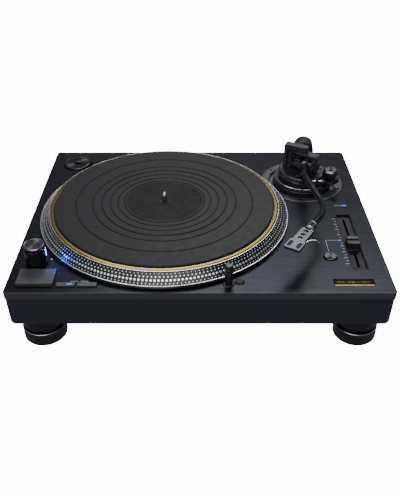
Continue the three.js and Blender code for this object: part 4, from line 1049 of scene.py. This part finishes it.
def make_bridge():
    low, high = levels("bridge_plate")
    band = prism_mesh("band", sector(DRUM_R + 0.4, RING_R + 1, -118, 2), low, high, 0.5)
    lobe = moved(prism_mesh("lobe", circle(13, 72), low + 0.01, high, 0.5), SKATE_X, SKATE_Y)
    arm = prism_mesh("arm", [(176, 224), (190, 231), (196, 244), (180, 252)], low + 0.02, high - 0.02, 0.4)
    clear_drum = drum(DRUM_R + 0.3, 0, 30, ARM_X, ARM_Y, 128)
    pin = Vector(joint("cue_lever_swing")["pos_m"])
    notch = bar(-4, 20, -3.6, 3.6, -4, 12)
    notch.transform(DECK_FRAME.inverted() @ turned_frame(pin, LEVER_HEADING))
    for name, mesh in (("bridge_band", band), ("bridge_lobe", lobe), ("bridge_arm", arm)):
        cutters = [clear_drum.copy(), notch.copy()]
        replaced = ("bridge_plate",) if name == "bridge_band" else ()
        on_deck(name, carved(mesh, cutters, 0.3), SATIN, "arm_base", "black_paint", *replaced)
    for k, (x, y) in enumerate(((182, 250.5), (193.5, 236))):
        screw(f"bridge_screw_{k + 1}", place(x, y, high - 0.1), UP, 1.6, STEEL, "arm_base", "steel")
    rod = [[0, 0], [1.5, 0], [1.5, 5.2], [1.1, 5.6], [0, 5.6]]
    for k, x in enumerate((158.0, 166.4)):
        lathe(f"rest_axle_{k + 1}", rod, place(x, 222.4, high + 2.1), STEEL, "arm_base", "steel",
              direction=Vector((1, 0, 0)), segments=32, soften=0.3)
    on_deck("rest_axle_block", bar(155.6, 173.8, 220.4, 224.4, high - 0.1, high + 0.9, 0.8, 0.3), SATIN,
            "arm_base", "black_paint")
    on_deck("rest_axle_post", bar(163.3, 166.2, 220.9, 223.9, high + 0.8, high + 4.2, 0.5, 0.3), MATTE,
            "arm_base", "black_moulding")


def make_rest():
    x0, x1, y0, y1 = footprint("arm_rest")
    shelf = ARM_H - 4.4
    tube_x = x0 + 5
    outline = [(x0, shelf - 3), (x1, shelf - 3), (x1, ARM_H + 2.5), (x1 - 3.6, ARM_H + 2.5),
               (x1 - 4, shelf + 3)]
    outline += [(tube_x + 4.7 * math.cos(math.radians(a)), ARM_H + 0.3 + 4.7 * math.sin(math.radians(a)))
                for a in (-20, -40, -60, -90)]
    outline += [(x0 + 1.2, shelf), (x0, shelf - 0.6)]
    cradle = prism_mesh("cradle", outline, -(y1 - y0) / 2, (y1 - y0) / 2, 0.35)
    finish_piece("rest_cradle", cradle, MATTE, "arm_base", "black_moulding", "arm_rest",
                 matrix=turned_frame(place(0, (y0 + y1) / 2, 0), 90, "X"))
    top = level("bridge_plate", 1)
    post = [[0, top + 0.3], [3.6, top + 0.3], [3.6, top + 1.5], [2.8, top + 2.3], [2.6, shelf - 4],
            [3.0, shelf - 3.1], [0, shelf - 3.1]]
    lathe("rest_post", post, place(tube_x + 4.5, (y0 + y1) / 2, 0), SATIN, "arm_base", "black_paint",
          segments=48)


def make_clip():
    pin = Vector(joint("arm_clip_swing")["pos_m"])
    hub = slab(0, 2.2, -3, 3)
    lathe("clip_hub", hub, pin, MATTE, "clip", "black_moulding", "arm_clip", direction=Vector((0, 1, 0)),
          segments=40)
    side = [(-1.2, 1.6), (1.2, 1.6), (1.2, 12.8), (0.4, 13.9), (-4.5, 13.9), (-4.5, 12.3), (-1.6, 12.2)]
    blade = prism_mesh("blade", side, -2, 2, 0.3)
    finish_piece("clip_blade", blade, MATTE, "clip", "black_moulding",
                 matrix=turned_frame(pin, CLIP_LEAN, "Y") @ Matrix.Rotation(math.radians(90), 4, "X"))


def make_cueing():
    lever = joint("cue_lever_swing")
    pin = Vector(lever["pos_m"])
    axis = Vector(lever["axis"])
    hub = [[0, -5], [2.6, -5], [3, -4.6], [3, 4.6], [2.6, 5], [0, 5]]
    lathe("lever_hub", hub, pin, SATIN, "cue_handle", "black_paint", "cue_lever", direction=axis, segments=48)
    outline = [(1.0, -1.7), (8, -2.0), (17.4, -2.5), (18, -2.2), (18, 2.2), (17.4, 2.5), (8, 2.0), (1.0, 1.7)]
    blade = loft_mesh("blade", [(outline, -1.0), (outline, 0.2),
                                ([(x * 0.985 + 0.1, y * 0.72) for x, y in outline], 1.0)])
    finish_piece("lever_blade", blade, FLANGE, "cue_handle", "black_paint",
                 matrix=turned_frame(pin, LEVER_HEADING))
    x0, x1, y0, y1 = footprint("cue_lift")
    low, high = levels("cue_lift")
    rest = bar(x0, x1, y0 + 0.1, y1 - 0.1, high - 2, high - 0.7, 1.2, 0.3)
    on_deck("lift_bar", rest, MATTE, "cue_platform", "black_moulding", "cue_lift")
    pad_piece = bar(x0 + 1, x1 - 1, y0 + 0.5, y1 - 0.5, high - 0.75, high, 1.0, 0.3)
    on_deck("lift_pad", pad_piece, RUBBER, "cue_platform", "black_rubber")
    stem = slab(0, 2.4, low, high - 2.05)
    lathe("lift_stem", stem, place(ARM_X, (y0 + y1) / 2, 0), STEEL, "cue_platform", "steel", segments=40)


def make_skate_dial():
    low, high = levels("anti_skate_dial")
    radius = half_width("anti_skate_dial")
    foot = slab(0, radius - 1.6, low, low + 3.4)
    at = place(SKATE_X, SKATE_Y, 0)
    lathe("skate_foot", foot, at, SATIN, "skate_dial", "black_aluminium", "anti_skate_dial", segments=72)
    grip = prism_mesh("grip", ridged(radius, 0.35, 48), low + 3.5, high - 2.6, 0.4)
    finish_piece("skate_grip", grip, SATIN, "skate_dial", "black_aluminium", matrix=Matrix.Translation(at))
    crown = [[0, high - 2.55], [radius - 0.4, high - 2.55], [radius - 2.6, high - 0.2], [radius - 3.2, high],
             [radius - 3.8, high - 0.5], [0, high - 0.6]]
    lathe("skate_crown", crown, at, DIAL_TOP, "skate_dial", "bright_aluminium", segments=96, soften=0.15)


# ---------------------------------------------------------------- gimbal and arm
TUBE_R = 4.0
HEADSHELL_HEADING = -122
FRONT_HEADING = -97
REAR_HEADING = 84
PIVOT = Vector(joint("arm_tilt")["pos_m"])
TILT_AXIS = -Vector(joint("arm_tilt")["axis"])
TILT_HEADING = math.degrees(math.atan2(TILT_AXIS.y, TILT_AXIS.x))
BRACKET_HEADING = -27
BRACKET_FRAME = turned_frame(PIVOT, BRACKET_HEADING)
GIMBAL_FRAME = turned_frame(PIVOT, TILT_HEADING)
NUT_START = place(137.6, 84.6, ARM_H)
SHELL_START = 15.3
HEADSHELL_HOLES = (6.2, 14, 21.8)
SHELL_FRAME = turned_frame(NUT_START, HEADSHELL_HEADING)
GIMBAL_SIDE = GIMBAL_FRAME.to_3x3() @ Vector((1, 0, 0))
SHELL_FORWARD = SHELL_FRAME.to_3x3() @ Vector((1, 0, 0))


def in_gimbal(name, mesh, material, body, slot, *replaced):
    return finish_piece(name, mesh, material, body, slot, *replaced, matrix=GIMBAL_FRAME)


def upended(mesh):
    """A prism drawn on x and y, turned so that its y stands up and its height runs to the front."""
    mesh.transform(Matrix.Rotation(math.radians(90), 4, "X"))
    return mesh


def make_yoke():
    half, depth, post, beam = 23.0, 6.3, 5.5, 4.2
    low, high = levels("yoke_frame")
    bottom, top = 24 - ARM_H, high - ARM_H
    outline = [(-half, bottom), (half, bottom), (half, top - 2), (half - 2, top), (-half + 2, top),
               (-half, top - 2)]
    body = upended(prism_mesh("yoke", outline, -depth, depth, 0.7, steps=3))
    inner = half - post
    window = upended(prism_mesh("window", [(-inner, bottom + beam), (inner, bottom + beam),
                                           (inner, top - beam), (-inner, top - beam)], -10, 10))
    in_gimbal("yoke_ring", carved(body, [window], 0.5), YOKE, "yoke", "black_paint", "yoke_frame")
    shaft = slab(0, 5, low - ARM_H, bottom - 0.2)
    lathe("yoke_shaft", shaft, PIVOT, STEEL, "yoke", "steel", segments=48)
    seat = slab(0, 9, bottom - 1.0, bottom - 0.15)
    lathe("yoke_seat", seat, PIVOT, SATIN, "yoke", "black_paint", segments=64)
    for name, direction in (("right", GIMBAL_SIDE), ("left", -GIMBAL_SIDE)):
        bearing_screw(f"pivot_screw_{name}", PIVOT + direction * (half - 0.4) * MM, direction, "yoke")


def make_bracket():
    """The fixed post beside the ring and the bar over it that holds the upper pivot."""
    reach, inner, depth = 29.2, 24.4, 5.8
    foot, high = level("pivot_bracket", 0) - ARM_H, level("pivot_bracket", 1) - ARM_H
    low = 49 - ARM_H
    end = [(depth * math.sin(math.radians(15 * k)),
            -depth * math.cos(math.radians(15 * k))) for k in range(13)]
    beam = prism_mesh("beam", [(-reach, depth), (-reach, -depth), *end], low, high, 0.8, steps=3)
    post = upended(prism_mesh("post", [(-reach, foot), (-inner, foot), (-inner, low + 0.6),
                                       (-reach, low + 0.6)], -depth, depth, 0.5))
    corner = upended(prism_mesh("corner", [(-reach - 1, high - 2.5), (-reach + 2.5, high + 1),
                                           (-reach - 1, high + 1)], -8, 8))
    finish_piece("bracket_beam", carved(beam, [corner], 0.5), YOKE, "arm_base", "black_paint",
                 "pivot_bracket", matrix=BRACKET_FRAME)
    finish_piece("bracket_post", post, YOKE, "arm_base", "black_paint", matrix=BRACKET_FRAME)
    bearing = slab(0, 2.4, 48.4 - ARM_H, low + 0.5)
    lathe("bracket_bearing", bearing, PIVOT, STEEL, "arm_base", "steel", segments=40)
    bearing_screw("pivot_screw_top", PIVOT + UP * (high - 0.9) * MM, UP, "arm_base")


def bearing_screw(name, origin, direction, body):
    ring = [[1.6, 0], [2.6, 0], [2.6, 0.6], [2.4, 0.8], [1.6, 0.8]]
    lathe(name + "_ring", ring, origin, GOLD_PIN, body, "gold", direction=direction, segments=48, soften=0.1)
    head = prism_mesh("head", circle(1.55), 0.02, 0.7, 0.15, both=False)
    head = carved(head, [bar(-2, 2, -0.28, 0.28, 0.35, 2)])
    finish_piece(name + "_head", head, GOLD_PIN, body, "gold", matrix=turn_to(origin, direction))


def make_pivot():
    barrel = [[0, -14.8], [2.9, -14.8], [3.6, -14], [3.6, -6.2], [4.2, -5.8], [4.2, 5.8], [3.6, 6.2],
              [3.6, 14], [2.9, 14.8], [0, 14.8]]
    lathe("pivot_barrel", barrel, PIVOT, TUBE, "tonearm", "black_aluminium", "pivot_housing",
          direction=GIMBAL_SIDE, segments=72)
    for name, sign in (("right", 1), ("left", -1)):
        pin = [[0, 14.9], [2.4, 14.9], [2.4, 15.6], [1.6, 16.0], [1.6, 16.6], [0.6, 17.0], [0, 17.0]]
        lathe(f"pivot_pin_{name}", pin, PIVOT, STEEL, "tonearm", "steel", direction=GIMBAL_SIDE * sign,
              segments=40, soften=0.2)
    sleeve = [[0, 1], [4, 1], [4, 10.2], [6.3, 13.2], [6.3, 21], [6.0, 21.3], [6.0, 22], [6.2, 22.3],
              [6.2, 24.2], [5.6, 25], [0, 25]]
    lathe("pivot_sleeve", sleeve, PIVOT, SLEEVE, "tonearm", "black_aluminium",
          direction=heading(FRONT_HEADING), segments=72, soften=0.35)
    cone = [[0, 1], [4, 1], [4, 10.4], [3.6, 11], [0, 11]]
    lathe("pivot_cone", cone, PIVOT, TUBE, "tonearm", "black_aluminium", direction=heading(REAR_HEADING),
          segments=72)


def tube_path():
    spots = ((144.6, 216), (145, 203), (147.5, 185), (152, 162), (156, 140), (156.3, 128), (154.5, 116),
             (150.2, 105))
    start = heading(FRONT_HEADING)
    return ([PIVOT + start * 25.2 * MM, PIVOT + start * 33 * MM] + [place(x, y, ARM_H) for x, y in spots]
            + [NUT_START - SHELL_FORWARD * 6 * MM, NUT_START + SHELL_FORWARD * 5 * MM])


def make_tube():
    sweep("arm_tube_bent", tube_path(), TUBE_R - 0.05, TUBE, "tonearm", "black_aluminium", "arm_tube",
          sides=48, steps=12)
    back = heading(REAR_HEADING)
    shaft = [[0, 11.3], [4.4, 11.3], [4.4, 57.2], [3.8, 58], [0, 58]]
    lathe("rear_shaft_rod", shaft, PIVOT, SATIN, "tonearm", "black_aluminium", "rear_shaft", direction=back,
          segments=48)


def make_weight():
    back = heading(REAR_HEADING)
    profile = [[4.9, 27.3], [13.4, 27.3], [14, 27.9], [14, 30], [13.7, 30.3], [13.7, 31], [14, 31.3],
               [14, 45], [13.2, 46], [12, 46], [12, 47.8], [11.3, 48.4], [8.4, 48.4], [7.8, 47.6],
               [4.9, 47.6]]
    lathe("weight_body", profile, PIVOT, WEIGHT, "balance_weight", "blackened_steel", "counterweight",
          direction=back, segments=128)
    dial = [[4.9, 22], [12.6, 22], [14.3, 23.4], [14.3, 26.4], [13.8, 26.8], [4.9, 26.8]]
    lathe("force_ring_body", dial, PIVOT, MATTE, "force_ring", "black_moulding", "force_dial", direction=back,
          segments=128)
    marks = []
    for k in range(60):
        tall = 1.7 if k % 5 == 0 else 1.0
        tick = bar(14.2, 14.36, -0.14, 0.14, 24.2, 24.2 + tall)
        marks.append(moved(tick, turn=6 * k))
    finish_piece("force_ring_marks", joined("marks", marks), PRINT_GREY, "force_ring", "white_print",
                 matrix=turn_to(PIVOT, back))


def shell_point(along, side, h):
    """A point from the headshell's rear edge, in metres: along it, to its side and up."""
    return NUT_START + SHELL_FRAME.to_3x3() @ Vector(((SHELL_START + along) * MM, side * MM, h * MM))


def in_shell(name, mesh, material, slot, *replaced):
    return finish_piece(name, mesh, material, "headshell_unit", slot, *replaced, matrix=SHELL_FRAME)


def make_headshell():
    nut = carved(prism_mesh("nut", ridged(5.5, 0.3, 32), 1.4, 10.6, 0.3), [drum(TUBE_R + 0.4, 0, 14, 0, 0)])
    finish_piece("nut_grip", nut, WEIGHT, "lock_nut", "black_aluminium", "headshell_nut",
                 matrix=turn_to(NUT_START, SHELL_FORWARD))
    for name, low, high in (("rear", 0, 1.35), ("front", 10.65, 12)):
        ring = [[TUBE_R + 0.4, low], [4.9, low], [5.4, low + 0.4], [5.4, high - 0.4], [4.9, high],
                [TUBE_R + 0.4, high]]
        lathe(f"nut_ring_{name}", ring, NUT_START, SPUN_BRIGHT, "lock_nut", "bright_aluminium",
              direction=SHELL_FORWARD, segments=72, soften=0.1)
    plug = [[0, 5.4], [3.8, 5.4], [3.8, 12.4], [5.1, 12.4], [5.1, 15], [0, 15]]
    lathe("connector_plug", plug, NUT_START, SILVER, "headshell_unit", "bright_aluminium",
          "headshell_connector", direction=SHELL_FORWARD, segments=72)
    body = prism_mesh("headshell", headshell_outline(0), -1.2, 2.5, 0.4, steps=3)
    hollow = prism_mesh("hollow", headshell_outline(1.5), -4, 0.7)
    cutters = [hollow] + [drum(3, -5, 5, SHELL_START + d, 0, 40) for d in HEADSHELL_HOLES]
    for side in (-5.6, 5.6):
        slot_cut = prism_mesh("slot", rectangle(12, 4.4, 2.15), -5, 5)
        cutters.append(moved(slot_cut, SHELL_START + 38, side))
    in_shell("headshell_plate", carved(body, cutters, 0.3), SHELL_SILVER, "bright_aluminium", "headshell")
    for k, d in enumerate(HEADSHELL_HOLES):
        for side in (-1.25, 1.25):
            sign = "left" if side < 0 else "right"
            material = GOLD_PIN if (k + (side > 0)) % 2 else NEEDLE_WHITE
            pin = bar(SHELL_START + d - 2, SHELL_START + d + 1.7, side - 0.6, side + 0.6, -0.6, 0.5, 0.3, 0.2)
            in_shell(f"terminal_{k + 1}_{sign}", pin, material, "gold")
    floor_plate = bar(SHELL_START + 2, SHELL_START + 26, -5.2, 5.2, -1.15, -0.7, 0.5, 0.1)
    in_shell("terminal_board", floor_plate, MATTE, "black_moulding")
    for k, side in enumerate((-4.9, 4.9)):
        spot = shell_point(2.6, side, 2.45)
        screw(f"headshell_screw_{k + 1}", spot, UP, 1.25, STEEL, "headshell_unit", "steel")


def headshell_outline(shrink):
    back, front, end = 7.7 - shrink, 10 - shrink, SHELL_START + 47 - shrink
    points = [(SHELL_START + shrink, -back), (SHELL_START + 26.5, -back), (SHELL_START + 29.5, -front),
              (end, -front), (end, front), (SHELL_START + 29.5, front), (SHELL_START + 26.5, back),
              (SHELL_START + shrink, back)]
    corners = rounded([(x, y, 0) for x, y in points], 1.2, True, 4)
    return [(corner.x, corner.y) for corner in corners]


def make_finger_lift():
    spots = ((24.6, 8.6, 0.5), (22.4, 9.5, 0.9), (20.1, 11.3, 1.2), (17.3, 14.4, 1.5), (15.5, 17.6, 1.1),
             (14.9, 19.8, 0), (15, 21.3, -1.5))
    path = [shell_point(*spot) for spot in spots]
    sweep("finger_lift_blade", path, 0.88, STEEL, "headshell_unit", "steel", "finger_lift", sides=20,
          steps=10, flatten=0.55, ends=(1.0, 0.8))


# ---------------------------------------------------------------- inner pieces keep their CAD shape
INNER = {
    "chassis_frame": CAST, "motor_stator": CAST, "motor_rotor": STEEL, "bearing_housing": STEEL,
    "main_board": BOARD, "power_supply": BOARD, "pitch_potentiometer": SATIN,
}


def dress_inner():
    for name, material in INNER.items():
        made = frame["nodes"][name]
        made.data.materials.clear()
        made.data.materials.append(material)


# ---------------------------------------------------------------- studio
FOCAL_LENGTH = 45.6
CAMERA_SPOT = (0, -0.7359, 0.5636)
CAMERA_TILT = 54.43
FLOOR_HALF = 3.0
FLOOR_WATTS = 50
WORLD_STRENGTH = 0.23
STROBE_WATTS = 0.01
SOFTBOXES = (
    ("back_softbox", (0.3, 1.5, 1.8), (0.05, -0.1, 0.1), 1.5, 0.5, 27),
    ("top_softbox", (-0.7, -0.3, 1.6), (0, 0, 0.1), 0.9, 0.9, 8),
    ("front_softbox", (-0.5, -1.7, 0.9), (0, 0, 0.05), 1.6, 0.8, 8),
    ("crown_softbox", (0.1, -0.95, 1.55), (0, -0.15, 0.1), 1.3, 0.5, 9),
)


def light(name, kind, **settings):
    data = bpy.data.lights.new(name, kind)
    for key, value in settings.items():
        setattr(data, key, value)
    return add_object(name, data)


def make_floor():
    """A pale floor with a light of its own, which the object neither receives nor mirrors."""
    work = bmesh.new()
    corners = ((-1, -1), (1, -1), (1, 1), (-1, 1))
    work.faces.new([work.verts.new((sx * FLOOR_HALF, sy * FLOOR_HALF, 0)) for sx, sy in corners])
    floor = add_object("studio_floor", to_mesh("studio_floor", work))
    floor.data.materials.append(painted("floor_white", (0.86, 0.86, 0.86), (0.9, 0.9, 0.9), 0.8, 60, 0.02))
    floor.visible_glossy = False
    floor.visible_diffuse = False
    lit = bpy.data.collections.new("floor_only")
    lit.objects.link(floor)
    sun = light("floor_light", "SUN", energy=FLOOR_WATTS, angle=math.radians(60), use_shadow=False)
    sun.light_linking.receiver_collection = lit


def make_softboxes():
    """Each a rectangle that faces its target: its name, place, target, width, height and watts."""
    for name, location, target, width, height, watts in SOFTBOXES:
        lamp = light(name, "AREA", shape="RECTANGLE", size=width, size_y=height, energy=watts)
        lamp.location = location
        direction = Vector(target) - Vector(location)
        lamp.rotation_euler = direction.to_track_quat("-Z", "Y").to_euler()


def make_strobe_light():
    """The blue light the strobe lamp throws on the platter's edge and the deck."""
    window = centre("strobe_window")
    post = place(POWER_X, POWER_Y, 0)
    outward = Vector((window.x - post.x, window.y - post.y, 0)).normalized()
    lamp = light("strobe_light", "POINT", energy=STROBE_WATTS, color=(0.04, 0.14, 1.0),
                 shadow_soft_size=0.001)
    lamp.location = window + outward * 0.008


def make_world():
    world = bpy.data.worlds.new("studio")
    world.use_nodes = True
    background = world.node_tree.nodes["Background"]
    background.inputs["Color"].default_value = (0.93, 0.95, 1.0, 1)
    background.inputs["Strength"].default_value = WORLD_STRENGTH
    bpy.context.scene.world = world


def make_camera():
    data = bpy.data.cameras.new("camera")
    data.sensor_width = 36
    data.lens = FOCAL_LENGTH
    camera = add_object("camera", data)
    camera.location = CAMERA_SPOT
    camera.rotation_euler = (math.radians(CAMERA_TILT), 0, 0)
    bpy.context.scene.camera = camera


for make in (
        make_camera, make_deck, make_shell, make_cover, make_feet, make_terminals, make_platter,
        make_mat, make_adaptor, make_power, make_keys, make_marks, make_fader, make_nameplate,
        make_target_light, make_arm_base, make_bridge, make_rest, make_clip, make_cueing,
        make_skate_dial, make_yoke, make_bracket, make_pivot, make_tube, make_weight,
        make_headshell, make_finger_lift, dress_inner, make_floor, make_world, make_softboxes,
        make_strobe_light):
    make()
